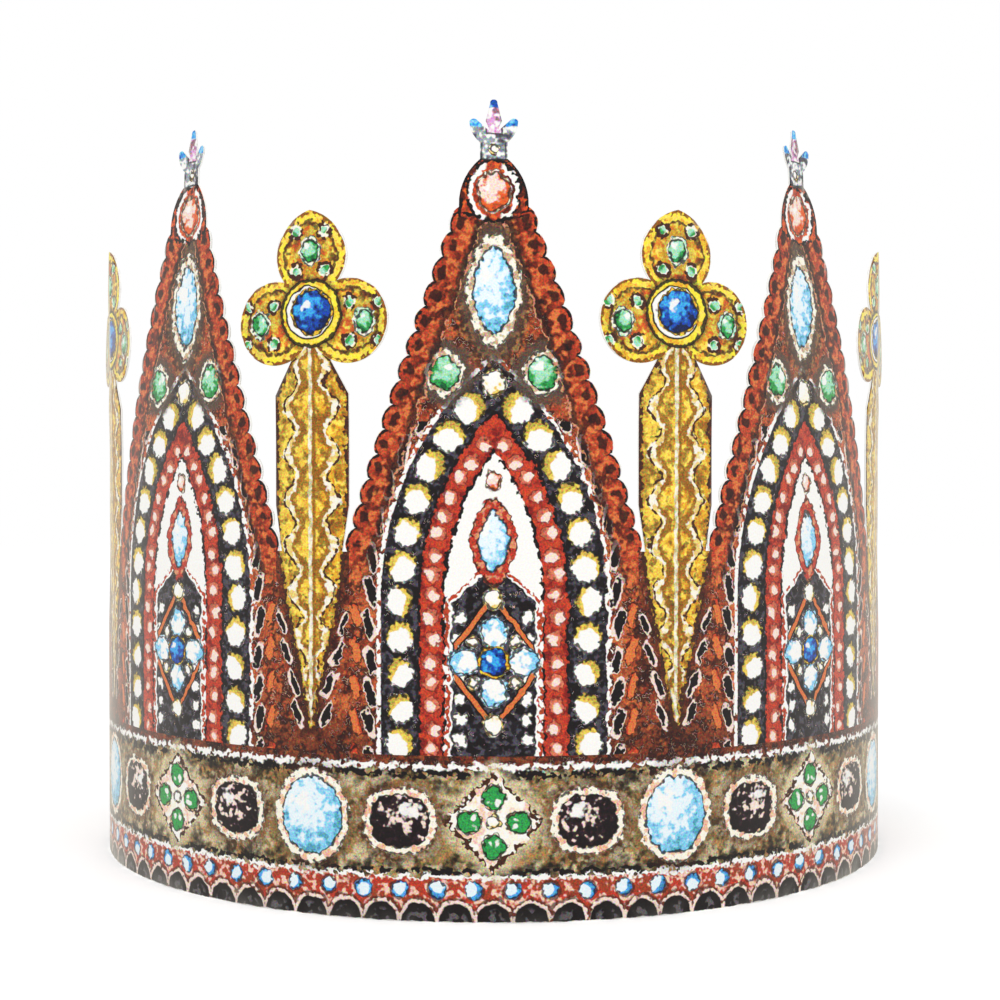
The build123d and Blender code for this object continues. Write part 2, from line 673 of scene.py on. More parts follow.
class Sheet(Sketch):
    """One material of the crown: the flat card's coordinates, its noises and its surface."""

    def __init__(self, name: str, tools: Tools) -> None:
        """Makes the material and reads the card's flat coordinates in it.

        Args:
            name: The material's name.
            tools: The shared node groups.
        """
        self.material = bpy.data.materials.new(name)
        self.material.use_nodes = True
        super().__init__(self.material.node_tree)
        self.tree.nodes.clear()
        self.tools = tools
        self.spot = Field(self, self.node("UVMap", uv_map=FLAT_MAP).outputs[0])
        self.u, self.v, _ = self.parts("SeparateXYZ", self.spot)
        self.slow = self.noise(0.2, 2.0, 0.55)
        self.fast = self.noise(0.6, 1.0, 0.5)
        self.grain = self.noise(1.35, 0.0, 0.5)
        self.wander = self.noise(0.45, 0.0, 0.5)

    def noise(self, scale: float, detail: float, roughness: float) -> list[Field]:
        """Three smooth noises over the flat card, each from 0 to 1 about a half."""
        made = self.texture(self.spot, scale, detail, roughness)
        return self.parts("SeparateColor", Field(self, made.outputs["Color"]))

    def repeated(self, position: Field, first: float, pitch: float = BLANK.pitch) -> Field:
        """Signed distance to the nearest of a row of places a pitch apart, one of which is first."""
        turns = (position - first) / pitch
        return (turns - self.math("ROUND", turns)) * pitch

    def washed(self, body: str, pool: str, thin: str, shift: int = 0) -> Field:
        """A wash of three tones.

        Args:
            body: The main colour.
            pool: The colour where it dries dark.
            thin: The colour where it is thin.
            shift: Which of the noises leads, so that neighbours differ.

        Returns:
            The washed colour.
        """
        lead = shift % 3
        noises = {"slow": self.slow[lead], "fast": self.fast[(shift + 1) % 3], "grain": self.grain[lead]}
        return self.place(self.tools.wash, body=body, pool=pool, thin=thin, **noises).colour

    def finish(self, colour: Field, ink: Value) -> bpy.types.Material:
        """Puts a colour on the card's surface and closes the material.

        Args:
            colour: The printed colour.
            ink: How much ink lies there, from 0 to 1.

        Returns:
            The finished material.
        """
        surface = self.place(self.tools.card, u=self.u, v=self.v, ink=ink, print=colour)
        bump = self.node("Bump")
        self.dial(bump, {"Strength": 0.35, "Distance": 0.03 * MM, "Height": surface.height})
        shader = self.node("BsdfPrincipled")
        looks = {
            "Base Color": surface.colour,
            "Roughness": surface.roughness,
            "IOR": 1.45,
            "Specular IOR Level": 0.14,
            "Sheen Weight": 0.85,
            "Sheen Roughness": 0.4,
            "Sheen Tint": (1.0, 0.95, 0.84, 1.0),
            "Normal": Field(self, bump.outputs[0]),
        }
        self.dial(shader, looks)
        self.close("OutputMaterial", shader)
        return self.material


@dataclass(frozen=True)
class StoneCut:
    """The colours and setting of one kind of stone. Its fields are inputs of the stones' group."""

    deep: str
    body: str
    pale: str
    setting: str = INKS.pearl
    worn: str = INKS.umber
    stroke: str = INKS.ink
    rim: float = 1.3
    power: float = 2.0
    mottle: float = 1.3
    core: float = 0.0
    shade: str = INKS.sepia
    gloom: float = 0.6


AQUA_LOZENGE = StoneCut(
    INKS.teal, INKS.sky, INKS.sky_pale, rim=1.35, power=1.7, mottle=1.7, shade=INKS.smoke, gloom=0.9
)
AQUA_OVAL = StoneCut(INKS.teal, INKS.sky, INKS.sky_pale, rim=1.5, worn=INKS.peach, gloom=0.5)
AQUA_PETAL = StoneCut(
    INKS.sky, INKS.sky, INKS.paper, INKS.sky_pale, INKS.sky, rim=0.3, power=1.8, gloom=0.0
)
SAPPHIRE = StoneCut(
    INKS.navy, INKS.royal, INKS.azure, INKS.straw, INKS.gold, rim=0.45, mottle=1.5, core=0.04, gloom=0.0
)
EMERALD_LOZENGE = StoneCut(
    INKS.forest, INKS.emerald, INKS.mint, rim=1.0, power=1.8, shade=INKS.smoke, gloom=0.9
)
EMERALD_DROP = StoneCut(
    INKS.forest, INKS.emerald, INKS.mint, rim=0.6, power=1.9, worn=INKS.mint, gloom=0.4
)
EMERALD_CHIP = StoneCut(INKS.forest, INKS.emerald, INKS.emerald, rim=0.3, power=1.8, gloom=0.0)
CARNELIAN = StoneCut(
    INKS.rust, INKS.carnelian, INKS.rose, rim=0.35, stroke=INKS.sepia, core=-0.08, gloom=0.0
)
CORAL_DROP = StoneCut(
    INKS.teal, INKS.sky, INKS.sky_pale, INKS.coral, INKS.peach, rim=1.6, power=1.5, gloom=0.0
)
GARNET_CUSHION = StoneCut(
    INKS.ink, INKS.plum, INKS.rose, rim=1.4, power=2.6, worn=INKS.peach, mottle=2.2, core=0.34, gloom=0.7
)
PEARL = StoneCut(INKS.straw, INKS.pearl, INKS.paper, worn=INKS.straw, rim=0.35, gloom=0.0)


@dataclass(frozen=True)
class BeadRow:
    """The sizes and colours of one kind of bead row. Its fields are inputs of the beads' group."""

    spacing: float
    last: float
    half_length: float
    half_width: float
    bead: str
    tint: str
    stroke: str = INKS.ink
    first: float = 0.0
    power: float = 2.0
    crescent: float = 0.5
    seed: float = 0.0


ORANGE_LEAVES = BeadRow(
    7.0, 10.0, 2.9, 1.55, INKS.ember, INKS.vermilion, INKS.ground_black, power=1.4, crescent=0.68, seed=15.0
)
BLACK_LEAVES = BeadRow(
    6.4, 10.0, 2.9, 1.55, INKS.ink, INKS.rose, INKS.rose, power=1.4, crescent=0.68, seed=33.0
)
ARCH_PEARLS = BeadRow(6.75, 10.0, 3.15, 2.85, INKS.paper, INKS.straw, crescent=0.56)
ARCH_BEADS = BeadRow(
    4.3, 15.0, 1.8, 1.65, INKS.rose, INKS.salmon, INKS.coral_dark, crescent=0.3, seed=40.0
)
NICHE_BEADS = BeadRow(3.9, 6.0, 1.4, 1.25, INKS.paper, INKS.pearl, power=2.6, crescent=0.8, seed=80.0)
SHAFT_HOOKS = BeadRow(
    6.0, 3.0, 2.7, 1.3, INKS.ink, INKS.rose, INKS.rose, power=1.4, crescent=0.6, seed=61.0
)
BAND_BEADS = BeadRow(
    7.2, 60.0, 1.7, 1.7, INKS.sky_pale, INKS.azure, INKS.navy, first=-60.0, crescent=0.45, seed=7.0
)


class PrintedSheet(Sheet):
    """A material with the motifs that the gables, the posts and the band share.

    Its colour is what is painted so far, and each motif is laid over that.
    """

    def __init__(self, name: str, tools: Tools) -> None:
        """Starts the print with its ground.

        Args:
            name: The material's name.
            tools: The shared node groups.
        """
        super().__init__(name, tools)
        self.colour = self.ground()

    def wobble(self, amount: float, channel: int) -> Field:
        """A hand's wandering, in millimetres each way."""
        return (self.wander[channel] - 0.5) * amount + (self.grain[channel] - 0.5) * (amount * 0.35)

    def wandered(self, first: float, amount: float) -> Spot:
        """The place as the hand wandered, from the nearest of a row of lines, one of which is first."""
        along = self.repeated(self.u + self.wobble(amount, 0), first)
        return Spot(along, abs(along), self.v + self.wobble(amount, 1))

    def drift(self, amount: float, channel: int) -> Field:
        """A wet edge's wandering, in millimetres each way."""
        return (self.fast[channel] - 0.5) * amount

    def over(self, colour: Colour, cover: Value) -> None:
        """Paints a colour over the print, as much of it as cover says."""
        self.colour = self.paint(self.colour, colour, cover)

    def stone(
        self, u: Field, v: Field, size: tuple[float, float], cut: StoneCut, cover: Value = 1.0
    ) -> None:
        """Draws a stone.

        Args:
            u: Distance along the strip from the stone's middle.
            v: Height above the stone's middle.
            size: Half its width and half its height, with its setting.
            cut: Its kind.
            cover: How much of it shows.
        """
        sizes = {"half_width": size[0], "half_height": size[1]}
        noises = {"slow": self.fast[0], "grain": self.grain[1], "fast": self.fast[2]}
        drawn = self.place(self.tools.stone, u=u, v=v, **sizes, **noises, **asdict(cut))
        self.over(drawn.colour, drawn.cover * cover)

    def row(self, along: Field, across: Field, beads: BeadRow, noises: tuple[int, int]) -> None:
        """Draws a row of beads.

        Args:
            along: Position along the row, from the middle of the bead with the number 0.
            across: Signed distance to the row's middle line.
            beads: The kind of row.
            noises: Which of the grain noises and which of the fast ones roughen it.
        """
        rough = {"grain": self.grain[noises[0]], "fast": self.fast[noises[1]]}
        drawn = self.place(self.tools.beads, along=along, across=across, **rough, **asdict(beads))
        self.over(drawn.colour, drawn.cover)

    def ground(self) -> Field:
        """The rust-red ground, with orange lights, dark pools and blots, and thin pen lines.

        Towards the band the ground sinks into brown-black shade.

        Returns:
            The ground's colour.
        """
        colour = self.washed(INKS.ground, INKS.ground_dark, INKS.ground_light)
        ember = self.rise(0.5, 0.64, self.slow[2] * 0.4 + self.fast[1] * 0.5 + self.grain[2] * 0.1)
        colour = self.paint(colour, INKS.ember, ember * 0.8)
        low = self.rise(74.0, 60.0, self.v) * 0.03
        blot = self.slow[1] * 0.5 + self.fast[2] * 0.4 + self.grain[1] * 0.1 + low
        colour = self.paint(colour, INKS.ground_black, self.rise(0.52, 0.59, blot) * 0.85)
        scrawl = abs(self.fast[0] - 0.53) + self.grain[0] * 0.03
        colour = self.paint(colour, INKS.ground_black, self.rise(0.03, 0.018, scrawl) * 0.65)
        scratch = abs(self.grain[1] - 0.48) + self.rise(0.6, 0.5, self.fast[2])
        colour = self.paint(colour, INKS.blush, self.rise(0.05, 0.02, scratch) * 0.55)
        shade = self.rise(46.0, 32.0, self.v + self.drift(16.0, 1))
        return self.paint(colour, INKS.ground_black, shade * 0.6)

    def charcoal(self, shift: int) -> Field:
        """Near-black ink in close pen strokes, with a little paper between some of them.

        Args:
            shift: Which of the noises leads.

        Returns:
            The colour.
        """
        colour = self.washed(INKS.charcoal, INKS.ink, INKS.charcoal_light, shift)
        scratch = abs(self.grain[shift] - 0.5) + self.rise(0.66, 0.5, self.fast[shift])
        return self.paint(colour, INKS.rose, self.rise(0.03, 0.015, scratch) * 0.6)

    def pen(self, shape: Field, tint: str, width: float, cover: Value = 1.0) -> None:
        """Draws a broken line of ink along the edge of a shape.

        Args:
            shape: Signed distance to the line.
            tint: The line's colour.
            width: Its width where the pen pressed.
            cover: How much of it shows.
        """
        pressed = self.line(shape, self.grain[0] * 1.2 * width + 0.02)
        self.over(tint, pressed * self.rise(0.36, 0.44, self.fast[0]) * cover)


class GablePrint(PrintedSheet):
    """What both parts of a gable share: a pointed arch of pearl and bead rows, and the scalloped border."""

    spring_level: float = 62.0
    arch_apex: float = 108.0
    arch_foot: float = 31.0
    arch_half_width: float = 21.6
    pearl_band: float = 7.4
    bead_band: float = 4.8
    first_pearl: float = 3.4
    first_bead: float = 2.0
    leaf_offsets: tuple[float, float] = (5.0, 2.2)
    leaf_slant: float = 1.2
    border: float = 4.6
    border_spread: float = 9.0

    def arch_distance(self, a: Field, v: Field) -> tuple[Field, Field]:
        """Distance to the pointed arch's outer line, and position along its sides.

        Below the springing the arch is a straight jamb at the half width. Above it is an arc about a
        centre on the springing line, beyond the middle, whose radius carries it to the apex.

        Args:
            a: Distance from the gable's middle line, never negative.
            v: Height above the card's bottom edge.

        Returns:
            The signed distance, negative inside, and the position along the line from the foot up.
        """
        rise = self.arch_apex - self.spring_level
        half = self.arch_half_width
        centre = (rise**2 - half**2) / (2 * half)
        radius = half + centre
        height = self.most(v - self.spring_level, 0.0)
        distance = self.length(a + centre, height) - radius
        angle = self.math("ARCTAN2", height, a + centre)
        along = self.least(v, self.spring_level) - self.arch_foot + angle * (radius - self.pearl_band / 2)
        return distance, along

    def leaves(self, distance: Field, along: Field) -> None:
        """Draws two rows of leaning leaves outside the arch: orange ones, and black ones with white edges.

        Args:
            distance: Signed distance to the arch's outer line.
            along: Position along that line.
        """
        for offset, leaf in zip(self.leaf_offsets, (ORANGE_LEAVES, BLACK_LEAVES)):
            across = distance - offset
            self.row(along - across * self.leaf_slant, across, leaf, (2, 1))

    def rows(self, distance: Field, along: Field) -> None:
        """Draws the arch's two rows: cream pearls on charcoal and small pink beads on coral.

        Args:
            distance: Signed distance to the arch's outer line.
            along: Position along that line.
        """
        ragged = distance + self.wobble(0.7, 0)
        torn = self.line(ragged - 0.4, self.grain[1] * 1.1 + 0.35) * self.rise(0.38, 0.44, self.fast[2])
        self.over(INKS.paper, torn)
        self.over(self.charcoal(1), self.inside(ragged))
        pearls = distance + self.pearl_band / 2
        self.row(along - self.first_pearl, pearls, ARCH_PEARLS, (1, 0))
        inner = ragged + self.pearl_band
        coral = self.washed(INKS.coral, INKS.coral_dark, INKS.vermilion, 2)
        self.over(coral, self.inside(inner))
        self.pen(inner, INKS.ink, 1.0)
        beads = distance + (self.pearl_band + self.bead_band / 2)
        self.row(along - self.first_bead, beads, ARCH_BEADS, (0, 1))

    def flank_line(self, share: Field) -> Field:
        """Half the gable's width at a share of the flank's height, on the line of the scallops' roots."""
        straight = share * (BLANK.dome_width / 2 - BLANK.flank_foot) + BLANK.flank_foot
        return straight + share * (1.0 - share) * (4 * BLANK.flank_swell)

    def scallop(self, a: Field, v: Field) -> tuple[Field, Field, Field, float]:
        """Finds the place within the nearest scallop, which is a round piece of the die-cut edge.

        The scallop's number comes from the length along the line of the scallops' roots, and its middle
        and radius from their spacing and rise. The distance to the edge is taken from that circle, and
        further in from the line of the roots.

        Args:
            a: Distance from the gable's middle line, never negative.
            v: Height above the card's bottom edge.

        Returns:
            How far the place lies out from the roots' line and along it from the scallop's middle, its
            signed distance to the edge, and the scallop's width.
        """
        height = BLANK.flank_top - BLANK.wall_height
        step_u = (BLANK.flank_foot - BLANK.dome_width / 2) / BLANK.scallops
        step_v = height / BLANK.scallops
        chord = math.hypot(step_u, step_v)
        out_u, out_v = step_v / chord, step_u / chord
        radius = (chord**2 / 4 + BLANK.scallop_rise**2) / (2 * BLANK.scallop_rise)
        along = (v - BLANK.wall_height) * out_u - (a - BLANK.flank_foot) * out_v
        number = self.math("FLOOR", along / chord)
        number = self.least(self.most(number, 0.0), BLANK.scallops - 1.0)
        share = (number + 0.5) / BLANK.scallops
        x = a - self.flank_line(share)
        y = v - (share * height + BLANK.wall_height)
        out = x * out_u + y * out_v
        beside = y * out_u - x * out_v
        bow = self.length(self.most(out + (radius - BLANK.scallop_rise), 0.0), beside) - radius
        return out, beside, self.least(bow, out + 2.0), chord

    def flank(self) -> None:
        """Draws the scalloped border: rust-red scales, each with a dark eye, and ink between them.

        Below the wall's edge the border spreads out into the ground.
        """
        wall = BLANK.wall_height
        out, beside, edge, chord = self.scallop(abs(self.repeated(self.u, 0.0)), self.v)
        below = self.inside(self.v - BLANK.flank_top, 0.2)
        upper = self.rise(wall - 0.3, wall, self.v) * below
        spread = self.rise(wall - self.border_spread, wall - 1.0, self.v + self.drift(12.0, 0))
        spread = self.most(upper, spread * below)
        strip = self.wobble(1.6, 0) - self.border - out
        rust = self.washed(INKS.rust, INKS.ground_dark, INKS.ember, 1)
        rust = self.paint(rust, INKS.vermilion, self.rise(-2.8, -0.6, out + self.drift(4.0, 2)) * 0.6)
        self.over(rust, self.rise(0.6, -0.8, strip) * spread)
        shade = self.line(strip - 0.3, self.fast[1] * 3.4 - 0.3, 0.4)
        self.over(INKS.ground_black, shade * spread * 0.8)
        thread = self.line(strip - 0.9, self.grain[1] * 0.7, 0.12) * self.rise(0.4, 0.5, self.fast[0])
        self.over(INKS.peach, thread * upper * 0.75)
        cleft = self.most(chord / 2 - 0.3 - abs(beside), -1.6 - out) + self.wobble(1.4, 2)
        self.over(INKS.ground_black, self.inside(cleft, 0.3) * upper * 0.7)
        eye = self.length(out + 1.4, beside * 0.75) + 0.1 - self.fast[1] * 2.0 + self.wobble(0.9, 2)
        self.over(INKS.ink, self.inside(eye, 0.25) * upper * 0.9)
        self.pen(edge + 0.4 + self.wobble(0.35, 1), INKS.ink, 0.9, upper)
        bare = self.rise(-0.28, -0.14, edge + self.wobble(0.3, 2))
        self.over(INKS.paper, bare * upper)

    def edge_of_sweep(self) -> None:
        """Draws the bare margin and ink line along the hollow edge behind the outer posts."""
        centre_u, centre_v = BLANK.sweep_centre
        away = abs(self.u)
        edge = BLANK.sweep_radius - self.length(self.least(away - centre_u, 0.0), self.v - centre_v)
        beyond = self.rise(BLANK.front_reach + 0.3, BLANK.front_reach + 0.9, away)
        margin = self.rise(-0.5, -0.35, edge + self.wobble(0.3, 0))
        self.over(INKS.paper, margin * beyond)
        self.pen(edge + 0.95 + self.wobble(0.4, 1), INKS.ink, 1.0, beyond)


class ArchPrint(GablePrint):
    """The lower part of a gable, with the niche that the arch frames."""

    niche_margin: float = 1.5
    first_niche_bead: float = 35.0
    charcoal_point: float = 68.5
    hub_level: float = 50.0
    hub_size: tuple[float, float] = (3.1, 3.1)
    petal_reach: float = 5.6
    petal_size: tuple[float, float] = (3.3, 2.8)
    inner_pearl_reach: float = 3.9
    inner_pearl_size: tuple[float, float] = (1.3, 1.3)
    outer_pearl_reach: float = 12.0
    outer_pearl_size: tuple[float, float] = (2.1, 2.1)
    diamond_reach: float = 9.4
    drop_level: float = 73.0
    drop_size: tuple[float, float] = (4.6, 8.8)
    chip_level: float = 84.6
    chip_size: tuple[float, float] = (1.7, 2.2)

    def niche(self, distance: Field, at: Spot) -> None:
        """Fills the arch: bare paper above, charcoal below, a cross of stones and a tall one over it.

        Args:
            distance: Signed distance to the arch's outer line.
            at: The place, from the gable's middle line.
        """
        ug, a, v = at
        niche = distance + self.wobble(0.7, 1) + self.pearl_band + self.bead_band
        self.over(INKS.paper, self.inside(niche))
        self.pen(niche, INKS.ink, 1.2)
        margin = niche + self.niche_margin
        lower = self.most(margin, a * 0.9 + v - self.charcoal_point) + self.wobble(0.8, 2)
        self.over(self.charcoal(2), self.inside(lower))
        self.pen(lower - 0.9, INKS.rust, 1.3)
        beads = margin + self.niche_margin
        self.row(v - self.first_niche_bead, beads, NICHE_BEADS, (2, 0))
        hub = v - self.hub_level
        rise = abs(hub)
        diamond = a + rise * 0.75 - self.diamond_reach + self.wobble(0.6, 0)
        within = self.inside(lower + 0.4)
        self.over(INKS.ink, self.line(diamond, 1.9) * within)
        self.over(INKS.ember, self.line(diamond, 1.1) * within)
        inner = self.inner_pearl_reach
        self.stone(a - inner, rise - inner, self.inner_pearl_size, PEARL)
        petal = self.most(a, rise) - self.petal_reach
        self.stone(petal, self.least(a, rise), self.petal_size, AQUA_PETAL)
        self.stone(ug, hub, self.hub_size, SAPPHIRE)
        self.stone(ug, rise - self.outer_pearl_reach, self.outer_pearl_size, PEARL)
        self.stone(ug, v - self.drop_level, self.drop_size, CORAL_DROP)
        self.stone(ug, v - self.chip_level, self.chip_size, CARNELIAN)

    def build(self) -> bpy.types.Material:
        """Draws the arch and its niche, from the ground up.

        Returns:
            The finished material.
        """
        at = self.wandered(0.0, 0.55)
        ground = self.colour
        distance, along = self.arch_distance(at.a, at.v)
        self.leaves(distance, along)
        self.rows(distance, along)
        self.niche(distance, at)
        front = self.inside(abs(self.u) - BLANK.front_reach + 0.5)
        self.colour = self.paint(ground, self.colour, front)
        self.flank()
        self.edge_of_sweep()
        return self.finish(self.colour, 1.0)


class CrestPrint(GablePrint):
    """The upper part of a gable: the arch's point, the stones above it, the dome and the finial."""

    tall_stone_level: float = 121.0
    tall_stone_size: tuple[float, float] = (5.4, 11.2)
    halo_reach: float = 7.6
    lozenge_place: tuple[float, float] = (9.4, 105.2)
    lozenge_size: tuple[float, float] = (3.9, 4.6)
    lozenge_shade_reach: float = 5.8
    point_pearl_level: float = 103.3
    point_pearl_size: tuple[float, float] = (2.5, 2.8)
    dome_foot: float = 134.2
    dome_shoulder: float = 138.6
    dome_stone_level: float = 139.9
    dome_stone_size: tuple[float, float] = (3.4, 4.2)
    hook_level: float = 139.8
    hook_reach: float = 4.5
    stem_pearl_rise: float = 2.0
    stem_pearl_size: tuple[float, float] = (1.1, 1.25)
    bud_half_width: float = 1.5
    bud_foot: float = 4.9
    bud_tip: float = 9.7
    prong_tip: tuple[float, float] = (2.4, 6.2)

    def crest(self, at: Spot) -> None:
        """Draws the stones over the arch: two green lozenges, a pearl and a tall light blue one.

        Args:
            at: The place, from the gable's middle line.
        """
        ug, a, v = at
        tall = v - self.tall_stone_level
        umber = self.washed(INKS.sepia, INKS.ground_black, INKS.umber, 2)
        halo = self.length(a, tall / 1.9) - self.halo_reach + self.drift(5.0, 1)
        self.over(umber, self.inside(halo, 0.8) * 0.85)
        x, y = a - self.lozenge_place[0], v - self.lozenge_place[1]
        shade = self.length(x, y) - self.lozenge_shade_reach + self.drift(4.0, 0)
        self.over(INKS.smoke, self.inside(shade, 1.2) * 0.85)
        self.stone(ug, tall, self.tall_stone_size, AQUA_LOZENGE)
        self.stone(x, y, self.lozenge_size, EMERALD_LOZENGE)
        self.stone(ug, v - self.point_pearl_level, self.point_pearl_size, PEARL)

    def dome(self, at: Spot) -> None:
        """Draws the small dome: a rust-red cap round a carnelian with two white hooks beside it.

        Over its shoulder the rim draws in by an eighth of the 1.7th power of the height.

        Args:
            at: The place, from the gable's middle line.
        """
        ug, a, v = at
        foot = v - self.dome_foot - a * 0.25
        cap = self.inside(self.wobble(0.6, 0) - foot, 0.2)
        self.over(self.washed(INKS.rust, INKS.ground_dark, INKS.carnelian, 1), cap)
        hook = self.length(a, (v - self.hook_level) * 0.85) - self.hook_reach + self.wobble(0.7, 0)
        white = self.line(hook, self.grain[1] + 0.4) * cap * self.rise(1.2, 1.8, a)
        self.over(INKS.paper, white)
        self.pen(hook - 0.6, INKS.ink, 1.0, cap)
        self.stone(ug, v - self.dome_stone_level, self.dome_stone_size, CARNELIAN)
        shoulder = self.most(v - self.dome_shoulder, 0.0) ** 1.7 * 0.125
        rim = a - (BLANK.dome_width / 2 - 0.25 - shoulder) + self.wobble(0.4, 1)
        self.pen(rim, INKS.ink, 1.3, cap)
        self.pen(foot + self.wobble(0.8, 2), INKS.ink, 1.2)

    def finial(self, at: Spot) -> None:
        """Draws the finial: a pewter stem and prongs with azure tips, and a pink bud.

        Args:
            at: The place, from the gable's middle line.
        """
        ug, a, v = at
        up = v - BLANK.finial_base
        above = self.rise(-0.35, -0.2, up + self.wobble(0.4, 0))
        pewter = self.washed(INKS.pewter, INKS.charcoal_light, INKS.paper, 0)
        self.over(pewter, above)
        self.over(INKS.ink, self.line(up + 0.1 + self.wobble(0.5, 2), 0.45) * 0.9)
        side = a - (BLANK.stem_width / 2 - 0.3) + self.wobble(0.3, 1)
        stem = above * self.rise(3.4, 3.0, up)
        self.over(INKS.ink, self.line(side, 0.35) * stem * 0.8)
        self.stone(ug, up - self.stem_pearl_rise, self.stem_pearl_size, PEARL)
        bud = self.most(a - self.bud_half_width, self.bud_foot - up) + self.wobble(0.3, 1)
        pink = self.washed(INKS.pink, INKS.mauve, INKS.paper, 2)
        self.over(pink, self.inside(bud, 0.15))
        outline = self.line(bud, 0.32) * self.rise(3.6, 4.0, up)
        self.over(INKS.charcoal, outline * 0.85)
        prong = self.most(self.prong_tip[1] - up, self.prong_tip[0] - a)
        tips = self.inside(self.least(prong, self.bud_tip - up) + self.wobble(0.5, 1), 0.15)
        azure = self.washed(INKS.azure, INKS.royal, INKS.sky, 1)
        self.over(azure, tips * above)

    def build(self) -> bpy.types.Material:
        """Draws the top of the gable, from the ground up.

        Returns:
            The finished material.
        """
        at = self.wandered(0.0, 0.5)
        self.rows(*self.arch_distance(at.a, at.v))
        self.crest(at)
        self.flank()
        self.dome(at)
        steady = self.repeated(self.u, 0.0)
        self.finial(Spot(steady, abs(steady), self.v))
        return self.finish(self.colour, 1.0)


class PostPrint(PrintedSheet):
    """The print of a post: a gold shaft with two wavy cream ribbons about a rib, and a trefoil of stones
    and pearls.
    """

    taper_start: float = 24.5
    taper_foot: float = 36.5
    hook_foot: float = 39.0
    hook_reach: float = 1.9
    link: float = 9.0
    swing: float = 1.25
    ribbon_reach: float = 4.1
    trefoil_zone_foot: float = 106.0
    bare_foot: float = 109.0
    neck_reach: float = 3.9
    disc_level: float = 117.3
    disc_radius: float = 6.5
    seat_radius: float = 5.05
    disc_stone_size: tuple[float, float] = (4.6, 4.6)
    side_stone: tuple[float, float] = (11.4, 115.4)
    top_stone_rise: float = 14.0
    lobe_stone_size: tuple[float, float] = (2.4, 3.0)
    lobe_pearl: tuple[float, float] = (3.1, 3.8)
    lobe_pearl_radius: float = 1.35
    top_lobe_foot: float = 123.2
    top_lobe_level: float = 128.7
    top_lobe_half_width: float = 7.7
    top_lobe_rise: float = 8.66
    top_lobe_drop: float = 8.1
    top_lobe_point: float = 1.68

    def shaft(self, at: Spot) -> None:
        """Draws the gold shaft, which narrows below the wall's edge to a point above the band.

        Beside its foot stand a few black hooks with white edges, in a dark shade.

        Args:
            at: The place, from the post's middle line.
        """
        up, a, v = at
        narrow = self.rise(self.taper_start, BLANK.wall_height + BLANK.shaft_foot_height, v)
        slope = (BLANK.shaft_width - BLANK.neck_width) / 2 / (BLANK.neck_level - BLANK.shaft_top)
        half = narrow * (BLANK.shaft_width / 2) - self.most(v - BLANK.shaft_top, 0.0) * slope
        body = self.most(a - half + self.wobble(0.7, 0) + 0.3, self.taper_foot - v)
        shade = self.rise(3.4, 0.0, body + self.drift(4.0, 2))
        self.over(INKS.ground_black, shade * 0.75)
        across = body - self.hook_reach
        self.row(v - self.hook_foot - across, across, SHAFT_HOOKS, (0, 2))
        gold = self.washed(INKS.gold, INKS.amber, INKS.gold_light, 1)
        lit = self.rise(1.5, -2.5, up + (self.slow[0] - 0.5) * 16.0)
        gold = self.paint(gold, INKS.gold_light, lit * 0.55)
        rust = self.rise(0.5, 0.62, self.slow[1] * 0.5 + self.fast[0] * 0.5)
        gold = self.paint(gold, INKS.gold_dark, rust * 0.75)
        brown = self.rise(0.53, 0.6, self.slow[2] * 0.4 + self.fast[1] * 0.4 + self.grain[0] * 0.2)
        gold = self.paint(gold, INKS.sepia, brown * (self.rise(88.0, 50.0, v) * 0.35 + 0.5))
        gold = self.paint(gold, INKS.gold_dark, self.rise(-1.6, 0.0, body + self.wobble(1.4, 1)) * 0.6)
        self.over(gold, self.inside(body))
        self.ribbons(at, self.least(half * 0.52, self.ribbon_reach), body)
        self.pen(body + 0.15, INKS.sepia, 1.3)

    def ribbons(self, at: Spot, reach: Field, body: Field) -> None:
        """Draws two cream ribbons that swing out and in about a rib, as far as a cosine of the height.

        Args:
            at: The place, from the post's middle line.
            reach: How far from the middle line the ribbons hang.
            body: Signed distance to the shaft's outline.
        """
        up, a, v = at
        within = self.inside(body + 0.8, 0.3)
        swing = self.math("COSINE", v * (2 * math.pi / self.link)) * self.swing
        ribbon = a - reach - swing + self.wobble(1.2, 1)
        shadow = self.line(ribbon + 1.0, self.grain[1] * 1.4 + 1.2, 0.35)
        self.over(INKS.gold_dark, shadow * within * 0.85)
        cream = self.paint(INKS.pearl, INKS.straw, self.rise(0.45, 0.6, self.fast[0]) * 0.8)
        width = self.grain[2] * 1.5 + self.rise(-0.6, 1.2, swing) * 1.3
        self.over(cream, self.line(ribbon, width, 0.2) * within * 0.95)
        self.pen(ribbon - 0.7, INKS.sepia, 0.9, within)
        self.over(INKS.gold_dark, self.line(up - 0.65, 0.7, 0.3) * within * 0.9)
        rib = self.paint(INKS.pearl, INKS.leaf, self.rise(0.4, 0.6, self.fast[2]) * 0.7)
        line = self.line(up + 0.1 + self.wobble(0.3, 1), 0.75)
        self.over(rib, line * within * 0.9)

    def lobe_edge(self, a: Field, v: Field) -> Field:
        """Measures from the trefoil's die-cut edge: two circles, and a round lobe with a blunt point.

        Args:
            a: Distance from the post's middle line, never negative.
            v: Height above the card's bottom edge.

        Returns:
            The signed distance, negative inside.
        """
        side = self.length(a - BLANK.lobe_offset, v - BLANK.lobe_level) - BLANK.lobe_radius
        up = v - self.top_lobe_level
        pointed = self.rise(-0.5, 0.5, up)
        tall = pointed * (self.top_lobe_rise - self.top_lobe_drop) + self.top_lobe_drop
        power = 2.0 - pointed * (2.0 - self.top_lobe_point)
        reach = self.reach(a / self.top_lobe_half_width, up / tall, power)
        return self.least(side, (reach - 1.0) * self.top_lobe_half_width)

